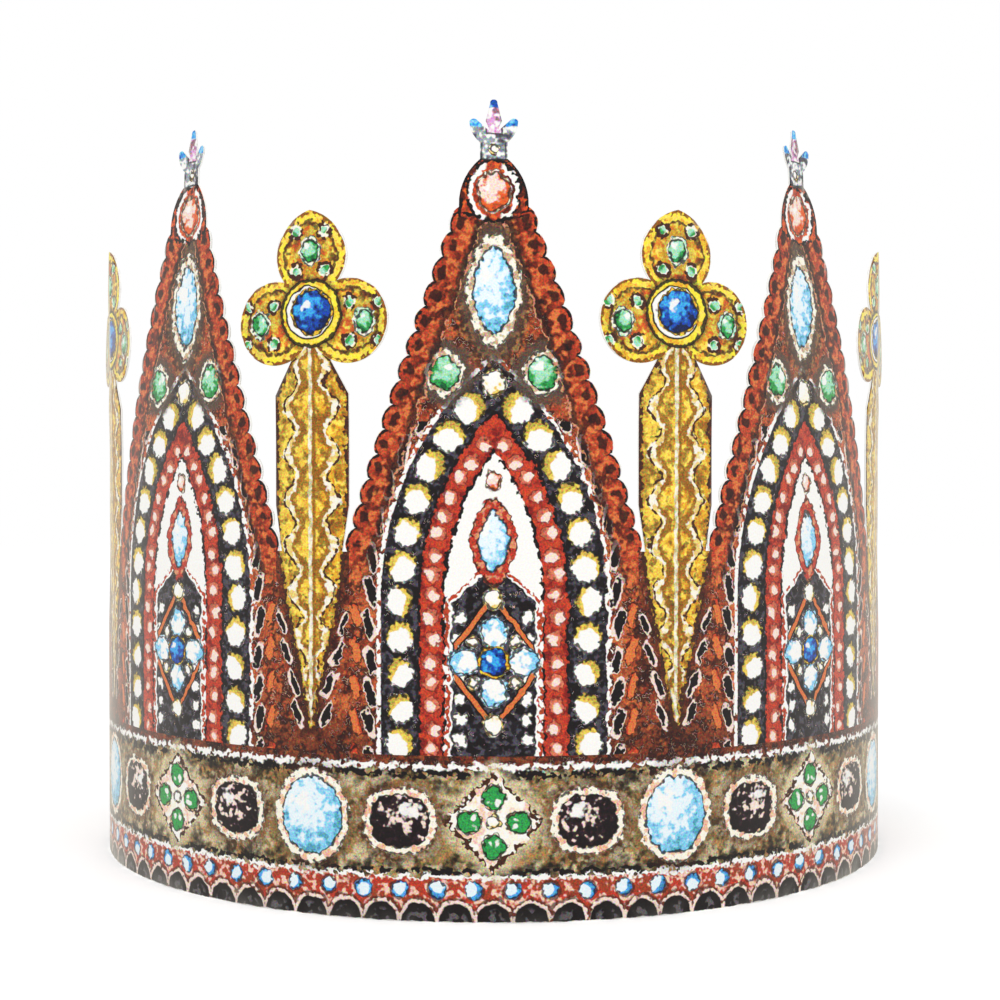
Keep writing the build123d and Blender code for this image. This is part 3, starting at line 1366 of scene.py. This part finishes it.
    def trefoil(self, at: Spot) -> None:
        """Draws the trefoil: three gold lobes with their stones, and a blue stone between them.

        Args:
            at: The place, from the post's middle line.
        """
        edge = self.lobe_edge(at.a, at.v)
        neck = self.rise(BLANK.neck_level - 0.9, BLANK.neck_level - 0.6, at.v + at.a * 0.12)
        lobes = self.inside(edge, 0.1) * neck
        self.over(self.washed(INKS.gold_light, INKS.gold, INKS.lemon, 0), lobes)
        rim = edge + 2.0 + self.drift(1.4, 1)
        bowl = self.washed(INKS.gold, INKS.carnelian, INKS.gold_light, 2)
        patch = self.rise(0.53, 0.61, self.slow[1] * 0.4 + self.fast[2] * 0.6)
        bowl = self.paint(bowl, INKS.sepia, patch * self.rise(-5.2, -2.6, edge) * 0.85)
        self.over(bowl, self.inside(rim, 0.2) * lobes)
        hollow = self.line(rim + 0.3, self.fast[0] * 2.2 - 0.7, 0.25)
        self.over(INKS.sepia, hollow * lobes * 0.85)
        self.over(INKS.sepia, self.line(rim, self.grain[2] * 1.1 - 0.1) * lobes * 0.85)
        self.lobe_stones(at, lobes)
        self.pen(edge + 0.3 + self.wobble(0.3, 0), INKS.gold_dark, 1.3, lobes)
        self.disc(at, lobes)

    def lobe_stones(self, at: Spot, lobes: Field) -> None:
        """Draws the green stone in each lobe, and the four pearls with a green gleam round it.

        Args:
            at: The place, from the post's middle line.
            lobes: 1 on the lobes, where all of it shows.
        """
        up, a, v = at
        top = self.rise(self.top_lobe_foot, self.top_lobe_foot + 0.1, v)
        stone_u = (a - self.side_stone[0]) * (1.0 - top) + up * top
        stone_v = v - self.side_stone[1] - top * self.top_stone_rise
        self.stone(stone_u, stone_v, self.lobe_stone_size, EMERALD_DROP, lobes)
        pearl_u = abs(stone_u) - self.lobe_pearl[0]
        pearl_v = abs(stone_v) - self.lobe_pearl[1]
        pearl = self.length(pearl_u, pearl_v) - self.lobe_pearl_radius + self.wobble(0.6, 2)
        self.over(INKS.pearl, self.inside(pearl) * lobes)
        glass = self.paint(INKS.mint, INKS.emerald, self.rise(-0.2, 0.6, pearl_u - pearl_v))
        gleam = self.inside(pearl + 0.5 + self.wobble(0.5, 0))
        self.over(glass, gleam * lobes)
        self.pen(pearl, INKS.sepia, 1.2, lobes)

    def disc(self, at: Spot, lobes: Field) -> None:
        """Draws the yellow disc between the lobes, with a blue stone on a white seat.

        Args:
            at: The place, from the post's middle line.
            lobes: 1 on the lobes, where the disc's shade shows.
        """
        up, a, v = at
        rise = v - self.disc_level
        disc = self.length(a, rise) - self.disc_radius + self.wobble(0.3, 0)
        self.over(INKS.sepia, self.rise(1.5, 0.0, disc) * lobes * 0.75)
        yellow = self.washed(INKS.lemon, INKS.gold, INKS.gold_light, 2)
        self.over(yellow, self.inside(disc))
        self.over(INKS.ink, self.line(disc + 0.1, self.grain[0] * 0.9 + 0.2) * 0.95)
        seat = self.length(up + 0.25, rise - 0.15) - self.seat_radius + self.wobble(0.4, 1)
        self.over(INKS.ink, self.inside(seat - 0.2))
        self.over(INKS.paper, self.inside(seat + 0.15))
        self.stone(up - 0.25, rise - 0.3, self.disc_stone_size, SAPPHIRE)

    def build(self) -> bpy.types.Material:
        """Draws the whole post, from the ground up.

        Returns:
            The finished material.
        """
        at = self.wandered(BLANK.pitch / 2, 0.4)
        self.shaft(at)
        post, foot = self.colour, self.trefoil_zone_foot
        self.trefoil(at)
        self.colour = self.paint(post, self.colour, self.rise(foot, foot + 0.5, self.v))
        away = abs(self.repeated(self.u, BLANK.pitch / 2))
        bare = self.rise(-0.22, -0.1, self.lobe_edge(away, self.v) + self.wobble(0.2, 2))
        bare = bare * self.rise(0.0, 0.2, away - self.neck_reach)
        self.over(INKS.paper, bare * self.rise(self.bare_foot, self.bare_foot + 0.4, self.v))
        return self.finish(self.colour, 1.0)


class BandPrint(PrintedSheet):
    """The print of the band: a gold frieze of stones, a beaded stripe and dark scallops at the edge."""

    scallop_radius: float = 3.25
    bead_level: float = 6.2
    bead_ring: float = 1.9
    stripe_high: float = 8.6
    frieze_low: float = 9.4
    frieze_high: float = 29.4
    frieze_middle: float = 19.4
    patch_reach: float = 7.4
    chip_reach: float = 4.7
    chip_size: tuple[float, float] = (2.7, 2.5)
    hub_size: tuple[float, float] = (1.5, 1.5)
    cushion_size: tuple[float, float] = (7.2, 6.4)
    cushion_halo: float = 7.6
    oval_level: float = 19.6
    oval_size: tuple[float, float] = (8.0, 9.4)

    def torn(self, distance: Field, width: float, channel: int) -> None:
        """Lays a torn white line, as wide as width where it is thinnest, and broken in places."""
        line = self.line(distance, self.grain[channel] * 1.9 + width, 0.25)
        self.over(INKS.paper, line * self.rise(0.38, 0.43, self.fast[0]))

    def stripes(self, v: Field) -> None:
        """Draws the plain stripes: ground, frieze, beaded stripe and the rough white lines between them.

        Args:
            v: Height above the card's bottom edge.
        """
        rough = v + self.wobble(1.2, 0)
        olive = self.washed(INKS.olive, INKS.olive_dark, INKS.umber, 1)
        haze = self.rise(0.46, 0.6, self.slow[0] * 0.6 + self.fast[1] * 0.4)
        olive = self.paint(olive, INKS.parchment, haze * 0.75)
        far = abs(v - self.frieze_middle) * 0.024
        soot = self.slow[2] * 0.45 + self.fast[0] * 0.3 + self.grain[0] * 0.05 + far
        olive = self.paint(olive, INKS.ink, self.rise(0.52, 0.7, soot) * 0.9)
        hatch = abs(self.grain[1] - 0.5) + self.rise(0.6, 0.45, self.fast[2])
        olive = self.paint(olive, INKS.ink, self.rise(0.05, 0.02, hatch) * 0.6)
        frieze = rough - self.frieze_high
        self.over(olive, self.inside(frieze))
        self.pen(frieze + 0.7, INKS.ink, 2.4)
        self.torn(frieze - 0.5, 0.2, 2)
        coral = self.washed(INKS.coral, INKS.ground, INKS.blush, 2)
        stripe = rough - self.stripe_high
        self.over(coral, self.inside(stripe))
        self.torn(stripe - 0.3, 0.1, 0)
        self.pen(rough - self.frieze_low - 0.5, INKS.ink, 1.6)

    def foot(self, v: Field) -> None:
        """Draws the lowest rows: light blue beads on the stripe, and half-round dark scallops at the edge.

        Args:
            v: Height above the card's bottom edge.
        """
        pitch = BAND_BEADS.spacing
        rise = v - self.bead_level
        ring = self.length(self.repeated(self.u, pitch / 2, pitch), rise) - self.bead_ring
        self.over(INKS.sepia, self.inside(ring + self.wobble(0.8, 0)) * 0.8)
        self.row(self.u - pitch / 2, rise, BAND_BEADS, (1, 2))
        scallop = self.length(self.repeated(self.u, 0.0, pitch), v * 0.86)
        scallop = scallop - self.scallop_radius + self.wobble(0.3, 1)
        shade = self.inside(scallop - 1.0 + self.wobble(0.8, 0), 0.2)
        self.over(INKS.sepia, shade * 0.8)
        pale = self.inside(scallop - 0.15 - self.grain[1] * 0.8)
        self.over(INKS.rose, pale * self.rise(0.3, 0.42, self.fast[1]))
        self.over(INKS.ink, self.inside(scallop))
        streak = self.rise(0.5, 0.62, self.fast[2]) * self.inside(scallop + 1.1, 0.4)
        self.over(INKS.slate, streak * 0.8)
        self.over(INKS.paper, self.rise(0.3, 0.15, self.v + self.wobble(0.3, 2)))

    def jewels(self, ug: Field, up: Field, v: Field) -> None:
        """Draws the frieze's stones: green chips in fours, dark cushions beside them and light blue ovals.

        Args:
            ug: Distance along the strip from the nearest gable's middle line.
            up: Distance along the strip from the nearest post's middle line.
            v: Height above the card's bottom edge.
        """
        a = abs(ug)
        rise = v - self.frieze_middle
        level = abs(rise)
        patch = a * 0.8 + level * 0.8 - self.patch_reach + self.drift(3.0, 0)
        cream = self.washed(INKS.pearl, INKS.blush, INKS.paper, 0)
        self.over(INKS.parchment, self.rise(3.6, 0.0, patch) * 0.85)
        self.over(cream, self.inside(patch, 0.2))
        self.pen(patch, INKS.sepia, 1.6)
        chip = self.most(a, level) - self.chip_reach
        self.stone(chip, self.least(a, level), self.chip_size, EMERALD_CHIP)
        self.stone(ug, rise, self.hub_size, PEARL)
        beside = a - BLANK.pitch / 4
        halo = self.length(beside / 1.15, rise) - self.cushion_halo + self.drift(5.0, 1)
        earth = self.washed(INKS.umber, INKS.olive_dark, INKS.parchment, 1)
        self.over(earth, self.inside(halo, 0.3) * 0.85)
        self.stone(beside, rise, self.cushion_size, GARNET_CUSHION)
        self.stone(up, v - self.oval_level, self.oval_size, AQUA_OVAL)

    def build(self) -> bpy.types.Material:
        """Draws the whole band, from the ground up.

        Returns:
            The finished material.
        """
        u = self.u + self.wobble(0.5, 0)
        v = self.v + self.wobble(0.4, 1)
        self.stripes(v)
        self.foot(v)
        self.jewels(self.repeated(u, 0.0), self.repeated(u, BLANK.pitch / 2), v)
        strap = self.rise(BLANK.front_reach, BLANK.front_reach + 1.0, abs(self.u))
        top = BLANK.strap_height - self.v + self.wobble(0.3, 2)
        self.pen(top - 1.0, INKS.ink, 1.2, strap)
        self.over(INKS.paper, self.rise(0.5, 0.35, top) * strap)
        return self.finish(self.colour, 1.0)


class BareCard(Sheet):
    """The unprinted inside and the cut edges: white card with faint fibres."""

    def build(self) -> bpy.types.Material:
        """Makes the bare card.

        Returns:
            The finished material.
        """
        colour = self.paint(INKS.paper, INKS.ivory, self.rise(0.45, 0.75, self.slow[0]) * 0.6)
        fibre = self.rise(0.62, 0.72, self.grain[0] * 0.6 + self.fast[0] * 0.4)
        return self.finish(self.paint(colour, INKS.flax, fibre * 0.35), 0.0)


@dataclass
class CurledCard:
    """The crown's card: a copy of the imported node, cut fine, bent a little and given its flat maps.

    Its sizes are in millimetres, and its leans are those of the front and the side gables' tips, and of
    the inner and the outer posts'.
    """

    grid: float = 4.0
    merge_reach: float = 0.002
    cut_reach: float = 0.004
    facet_reach: float = 0.1
    wider: float = 1.013
    shallower: float = 0.987
    gable_lean: tuple[float, float] = (2.2, 5.4)
    post_lean: tuple[float, float] = (-0.8, -1.4)
    lean_foot: float = 50.0
    lean_power: float = 1.2
    flat_foot: float = 92.0
    flat_top: float = 110.0
    neck_split: float = 105.5
    notch_slope: float = 0.155
    notch_room: float = 0.2
    post_reach: float = 9.5
    lobe_room: float = 1.1
    shaft_room: float = 1.4
    printed_facing: float = 0.7
    sharp_angle: float = 35.0
    island_reach: float = 130.0
    island_margin: float = 2.0
    strap_step: float = 45.44
    bare_scale: float = 0.11
    edge_chip: float = 3.0

    def refined(self) -> bpy.types.Mesh:
        """Copies the node's mesh, joins its corners and cuts it along a grid of rulings and levels.

        Returns:
            The refined mesh, in metres.
        """
        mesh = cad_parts["crown"].data.copy()
        mesh.name = "crown_card"
        work = bmesh.new()
        work.from_mesh(mesh)
        bmesh.ops.remove_doubles(work, verts=work.verts, dist=self.merge_reach * MM)
        half_round = round(BLANK.pitch * BLANK.pitches_round / 2 / self.grid)
        for index in range(half_round):
            angle = index * self.grid / BLANK.radius
            self.cut(work, Vector(), Vector((math.cos(angle), math.sin(angle), 0)))
        for index in range(1, math.ceil(BLANK.crown_height / self.grid)):
            self.cut(work, Vector((0, 0, index * self.grid * MM)), Vector((0, 0, 1)))
        bmesh.ops.remove_doubles(work, verts=work.verts, dist=self.cut_reach * MM)
        bmesh.ops.triangulate(work, faces=work.faces)
        work.to_mesh(mesh)
        work.free()
        return mesh

    def cut(self, work: bmesh.types.BMesh, point: Vector, normal: Vector) -> None:
        """Cuts every face that crosses a plane.

        Args:
            work: The mesh to cut.
            point: A point of the plane, in metres.
            normal: The plane's normal.
        """
        everything = [*work.verts, *work.edges, *work.faces]
        reach = self.merge_reach * MM
        bmesh.ops.bisect_plane(work, geom=everything, dist=reach, plane_co=point, plane_no=normal)

    def rounded(self, places: np.ndarray) -> np.ndarray:
        """Moves the points of the flat facets out onto the true curves of the card's two faces.

        The right arm is an arc about the middle, and the left arm behind the middle line is an arc of a
        radius that is smaller by the tuck, about a centre as far to the left.

        Args:
            places: Points in millimetres.

        Returns:
            The points, each on the card's outer or inner curve where it was near one.
        """
        x, y = places[:, 0], places[:, 1]
        out = np.hypot(x, y)
        tucked = (y > 0) & ((x < 0) | (out < BLANK.radius - 0.75 * BLANK.thickness))
        centre = np.where(tucked, -BLANK.tuck, 0.0)
        radius = np.where(tucked, BLANK.radius - BLANK.tuck, BLANK.radius)
        reach = np.hypot(x - centre, y)
        face = radius + np.sign(reach - radius) * BLANK.thickness / 2
        near = np.abs(reach - face) < self.facet_reach
        scale = np.where(near, face / reach, 1.0)
        moved = places.copy()
        moved[:, 0] = centre + (x - centre) * scale
        moved[:, 1] = y * scale
        return moved

    def along(self, places: np.ndarray) -> np.ndarray:
        """Position along the strip: the angle from the front about the ring's middle, times the radius."""
        return np.arctan2(places[:, 0], -places[:, 1]) * BLANK.radius

    def from_post(self, u: np.ndarray) -> np.ndarray:
        """Signed distance along the strip from the middle of the nearest post."""
        turns = u / BLANK.pitch + 0.5
        return (turns - np.round(turns)) * BLANK.pitch

    def on_post(self, u: np.ndarray, v: np.ndarray) -> np.ndarray:
        """Finds the places over the wall that lie on one of the front posts.

        A place does where it is nearer to a post than the notch beside it, which slopes away from the
        post, and above the neck where it is nearer than the side lobe reaches.

        Args:
            u: Places along the strip.
            v: Their heights.

        Returns:
            Whether each lies on a post.
        """
        foot = BLANK.shaft_foot_width / 2 + (v - BLANK.wall_height) * self.notch_slope + self.notch_room
        lobe = BLANK.lobe_offset + BLANK.lobe_radius + self.lobe_room
        reach = np.where(v > self.neck_split, lobe, np.minimum(foot, self.post_reach))
        return (np.abs(u) < BLANK.outer_post + lobe) & (np.abs(self.from_post(u)) < reach)

    def flattened(self, places: np.ndarray) -> np.ndarray:
        """Lets the trefoils spring flat, as stiff card does above a narrow neck.

        A point of a trefoil moves from the ring's curve towards the plane that touches the ring at the
        post's middle line, by a smooth step of its height. Its place along the strip is kept as a length.

        Args:
            places: Points in millimetres.

        Returns:
            The points, with the posts' tops flattened.
        """
        u, v = self.along(places), places[:, 2]
        share = np.clip((v - self.flat_foot) / (self.flat_top - self.flat_foot), 0, 1)
        share = np.where(self.on_post(u, v), share**2 * (3 - 2 * share), 0)
        beside = self.from_post(u)
        turn = (u - beside) / BLANK.radius
        out = np.hypot(places[:, 0], places[:, 1])
        flat_x = out * np.sin(turn) + beside * np.cos(turn)
        flat_y = beside * np.sin(turn) - out * np.cos(turn)
        moved = places.copy()
        moved[:, 0] += (flat_x - places[:, 0]) * share
        moved[:, 1] += (flat_y - places[:, 1]) * share
        return moved

    def leaned(self, places: np.ndarray) -> np.ndarray:
        """Draws the ring slightly oval and leans its tall parts, by a power of their height over the foot.

        The front gable leans straight back, and those at the sides lean in across the ring. The lean runs
        evenly between them with the angle. The posts lean out a little, the outer ones the most, and from a
        gable's middle line to a post's one lean passes evenly into the other.

        Args:
            places: Points in millimetres, on the round ring.

        Returns:
            The points of the standing crown.
        """
        u = self.along(places)
        to_gable = np.abs(u - BLANK.pitch * np.round(u / BLANK.pitch))
        rise = np.clip(places[:, 2] - self.lean_foot, 0, None) / (BLANK.crown_height - self.lean_foot)
        at_gable = np.clip(1 - to_gable / (BLANK.pitch / 2), 0, 1)
        turn = u / BLANK.radius
        step = BLANK.pitch / BLANK.radius
        gable_lean = np.interp(np.abs(turn), (0, step), self.gable_lean)
        post_lean = np.interp(np.abs(turn), (step / 2, 1.5 * step), self.post_lean)
        lean = (post_lean + (gable_lean - post_lean) * at_gable) * rise**self.lean_power
        moved = places.copy()
        moved[:, 0] = places[:, 0] * self.wider - lean * np.sin(turn)
        back = lean * np.cos(turn) * np.clip(np.cos(2 * turn), 0, 1)
        moved[:, 1] = places[:, 1] * self.shallower + back
        return moved

    def build(self) -> bpy.types.Object:
        """Makes the card and its maps.

        Returns:
            The card's object, at the origin.
        """
        mesh = self.refined()
        count = len(mesh.vertices)
        places = np.empty(count * 3, np.float32)
        mesh.vertices.foreach_get("co", places)
        places = self.rounded(places.reshape(-1, 3).astype(float) / MM)
        self.map_flat(mesh, places)
        standing = self.leaned(self.flattened(places))
        mesh.vertices.foreach_set("co", (standing * MM).astype(np.float32).ravel())
        mesh.update()
        mesh.shade_smooth()
        mesh.set_sharp_from_angle(angle=math.radians(self.sharp_angle))
        card = bpy.data.objects.new("crown_card", mesh)
        bpy.context.scene.collection.objects.link(card)
        return card

    def map_flat(self, mesh: bpy.types.Mesh, places: np.ndarray) -> None:
        """Writes the flat map, the bake's map and each face's material slot.

        A corner's place along the strip is taken next to its face's middle, so that a face at the seam
        doesn't reach round the whole ring.

        Args:
            mesh: The card's mesh, all triangles.
            places: Its points before they lean, in millimetres.
        """
        corners = np.empty(len(mesh.loops), np.int32)
        mesh.loops.foreach_get("vertex_index", corners)
        triangles = places[corners].reshape(-1, 3, 3)
        middle = triangles.mean(1)
        facing = np.cross(triangles[:, 1] - triangles[:, 0], triangles[:, 2] - triangles[:, 0])
        facing /= np.maximum(np.linalg.norm(facing, axis=1), 1e-12)[:, None]
        outward = (facing[:, :2] * middle[:, :2]).sum(1) / np.hypot(middle[:, 0], middle[:, 1])
        face_u = self.along(middle)
        length = BLANK.pitch * BLANK.pitches_round
        u = self.along(places)[corners].reshape(-1, 3)
        u -= length * np.round((u - face_u[:, None]) / length)
        v = places[corners, 2].reshape(-1, 3)
        flat = mesh.uv_layers.new(name=FLAT_MAP)
        flat.data.foreach_set("uv", np.stack((u, v), -1).astype(np.float32).ravel())
        printed = outward > self.printed_facing
        slots = self.zones(face_u, middle[:, 2], printed)
        for _ in Zone:
            mesh.materials.append(None)
        mesh.polygons.foreach_set("material_index", slots.astype(np.int32))
        bake = mesh.uv_layers.new(name=BAKE_MAP)
        spread = self.bake_places(u, v, face_u, printed, outward < -self.printed_facing)
        bake.data.foreach_set("uv", spread.astype(np.float32).ravel())
        flat.active_render = True

    def zones(self, u: np.ndarray, v: np.ndarray, printed: np.ndarray) -> np.ndarray:
        """Chooses the material slot of each face, by where its middle lies on the flat card.

        Args:
            u: Each middle's place along the strip.
            v: Each middle's height.
            printed: Whether the face is printed.

        Returns:
            The slots' numbers.
        """
        beside = np.abs(self.from_post(u)) < BLANK.shaft_width / 2
        shaft = (v < BLANK.wall_height) & beside & (np.abs(u) < BLANK.front_reach + self.shaft_room)
        slots = np.where(v < BLANK.crest_zone_foot, Zone.ARCH.value, Zone.CREST.value)
        slots[shaft | (v > BLANK.wall_height) & self.on_post(u, v)] = Zone.POST.value
        strap = np.abs(u) > BLANK.front_reach + BLANK.sweep_length
        slots[(v < BLANK.band_zone_top) | strap] = Zone.BAND.value
        slots[~printed] = Zone.BARE.value
        return slots

    def bake_places(
        self, u: np.ndarray, v: np.ndarray, face_u: np.ndarray, printed: np.ndarray, inside: np.ndarray
    ) -> np.ndarray:
        """Where each corner lies in the square that a bake fills.

        The printed front lies at the bottom, the two printed straps over it, and the bare inside at a
        small scale beside them. A cut edge is one small triangle of its own.

        Args:
            u: Each corner's place along the strip.
            v: Each corner's height.
            face_u: The place of each face's middle along the strip.
            printed: Whether a face is printed.
            inside: Whether a face looks inwards.

        Returns:
            A pair of numbers from 0 to 1 for each corner.
        """
        front, margin = self.island_reach, self.island_margin
        side = 2 * (front + margin)
        right = (printed & (face_u > front))[:, None]
        left = (printed & (face_u < -front))[:, None]
        low = BLANK.crown_height + 3 * margin
        half_round = BLANK.pitch * BLANK.pitches_round / 2
        across = np.where(right, u - front + margin, u + front + margin)
        across = np.where(left, u + half_round + margin, across)
        up = np.where(right, v + low, v + margin)
        up = np.where(left, v + low + self.strap_step, up)
        corner = side - 2 * half_round * self.bare_scale - margin
        across = np.where(inside[:, None], corner + (u + half_round) * self.bare_scale, across)
        up = np.where(inside[:, None], low + v * self.bare_scale, up)
        edge = ~(printed | inside)[:, None]
        chip = side - self.edge_chip * np.array([[2.0, 2.0], [1.0, 2.0], [2.0, 1.0]])
        across = np.where(edge, chip[None, :, 0], across)
        up = np.where(edge, chip[None, :, 1], up)
        return np.stack((across, up), -1) / side


@dataclass
class Crown:
    """The whole crown: its card and its finishes."""

    card: CurledCard

    def build(self) -> bpy.types.Object:
        """Makes the card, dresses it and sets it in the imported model's place.

        Returns:
            The crown's object.
        """
        piece = self.card.build()
        tools = Tools(wash_group(), stone_group(), bead_group(), card_group())
        finishes = {
            Zone.ARCH: ArchPrint("arch print", tools).build(),
            Zone.CREST: CrestPrint("crest print", tools).build(),
            Zone.POST: PostPrint("post print", tools).build(),
            Zone.BAND: BandPrint("band print", tools).build(),
            Zone.BARE: BareCard("bare card", tools).build(),
        }
        for zone, finish in finishes.items():
            piece.data.materials[zone.value] = finish
        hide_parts("crown")
        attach(piece, "root")
        return piece


@dataclass(frozen=True)
class SoftBox:
    """A square lamp: its name, where it hangs and its side in metres, and its power in watts."""

    name: str
    place: tuple[float, float, float]
    side: float
    watts: float


@dataclass
class Studio:
    """The pale floor, the soft light and the camera. Lengths are in metres."""

    distance: float = 0.38808
    eye_height: float = 0.0790
    lens: float = 56.2
    tilt_down: float = 0.59
    shift_x: float = 0.0062
    shift_y: float = 0.0263
    floor_size: float = 6.0
    floor_tone: float = 0.86
    floor_glow: float = 0.3
    sky_strength: float = 0.82
    aim_height: float = 0.07
    boxes: tuple[SoftBox, ...] = (
        SoftBox("key soft box", (-0.7, -1.1, 1.1), 0.9, 6.0),
        SoftBox("fill soft box", (0.9, -0.9, 0.6), 0.9, 3.0),
    )

    def seen(self, s: Sketch) -> Field:
        """1 for what the eye sees straight, in a reflection or through glass, and 0 for what lights."""
        rays = s.node("LightPath").outputs
        return s.most(*(Field(s, rays[f"Is {kind} Ray"]) for kind in ("Camera", "Glossy", "Transmission")))

    def floor(self) -> None:
        """Lays a wide white floor that keeps the crown's shadow."""
        half = self.floor_size / 2
        mesh = bpy.data.meshes.new("floor")
        corners = [(-half, -half, 0), (half, -half, 0), (half, half, 0), (-half, half, 0)]
        mesh.from_pydata(corners, [], [(0, 1, 2, 3)])
        floor = bpy.data.objects.new("floor", mesh)
        bpy.context.scene.collection.objects.link(floor)
        material = bpy.data.materials.new("white floor")
        material.use_nodes = True
        s = Sketch(material.node_tree)
        s.tree.nodes.clear()
        diffuse = s.node("BsdfDiffuse")
        s.dial(diffuse, {"Color": (self.floor_tone,) * 3 + (1.0,)})
        glow = s.node("Emission")
        s.dial(glow, {"Color": (1.0,) * 4, "Strength": self.seen(s) * self.floor_glow})
        both = s.node("AddShader")
        s.feed(both.inputs[0], Field(s, diffuse.outputs[0]))
        s.feed(both.inputs[1], Field(s, glow.outputs[0]))
        s.close("OutputMaterial", both)
        mesh.materials.append(material)

    def sky(self) -> None:
        """Sets a white surround: plain white to the eye, and a little softer as light."""
        world = bpy.data.worlds.new("white surround")
        world.use_nodes = True
        s = Sketch(world.node_tree)
        s.tree.nodes.clear()
        strength = self.seen(s) * (1.0 - self.sky_strength) + self.sky_strength
        ground = s.node("Background")
        s.dial(ground, {"Color": (1.0,) * 4, "Strength": strength})
        s.close("OutputWorld", ground)
        bpy.context.scene.world = world

    def lamp(self, box: SoftBox) -> None:
        """Adds a soft box that looks at the crown.

        Args:
            box: The lamp.
        """
        light = bpy.data.lights.new(box.name, "AREA")
        light.shape = "SQUARE"
        light.size = box.side
        light.energy = box.watts
        lamp = bpy.data.objects.new(box.name, light)
        lamp.location = box.place
        aim = Vector((0, 0, self.aim_height)) - Vector(box.place)
        lamp.rotation_euler = aim.to_track_quat("-Z", "Y").to_euler()
        bpy.context.scene.collection.objects.link(lamp)

    def camera(self) -> None:
        """Sets the camera level with the crown's middle, where the photograph was taken from."""
        data = bpy.data.cameras.new("camera")
        data.lens = self.lens
        data.shift_x = self.shift_x
        data.shift_y = self.shift_y
        data.clip_start = 0.01
        camera = bpy.data.objects.new("camera", data)
        camera.location = (0.0, -self.distance, self.eye_height)
        camera.rotation_euler = (math.radians(90 - self.tilt_down), 0.0, 0.0)
        bpy.context.scene.collection.objects.link(camera)
        bpy.context.scene.camera = camera

    def build(self) -> None:
        """Sets up the floor, the light and the camera."""
        self.floor()
        self.sky()
        for box in self.boxes:
            self.lamp(box)
        self.camera()
        bpy.context.scene.view_settings.view_transform = "Standard"


def main() -> None:
    """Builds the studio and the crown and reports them."""
    logging.basicConfig(level=logging.INFO, format="%(message)s")
    Studio().build()
    crown = Crown(CurledCard()).build()
    log.info("%s: %d triangles", crown.name, len(crown.data.polygons))


if __name__ == "__main__":
    main()
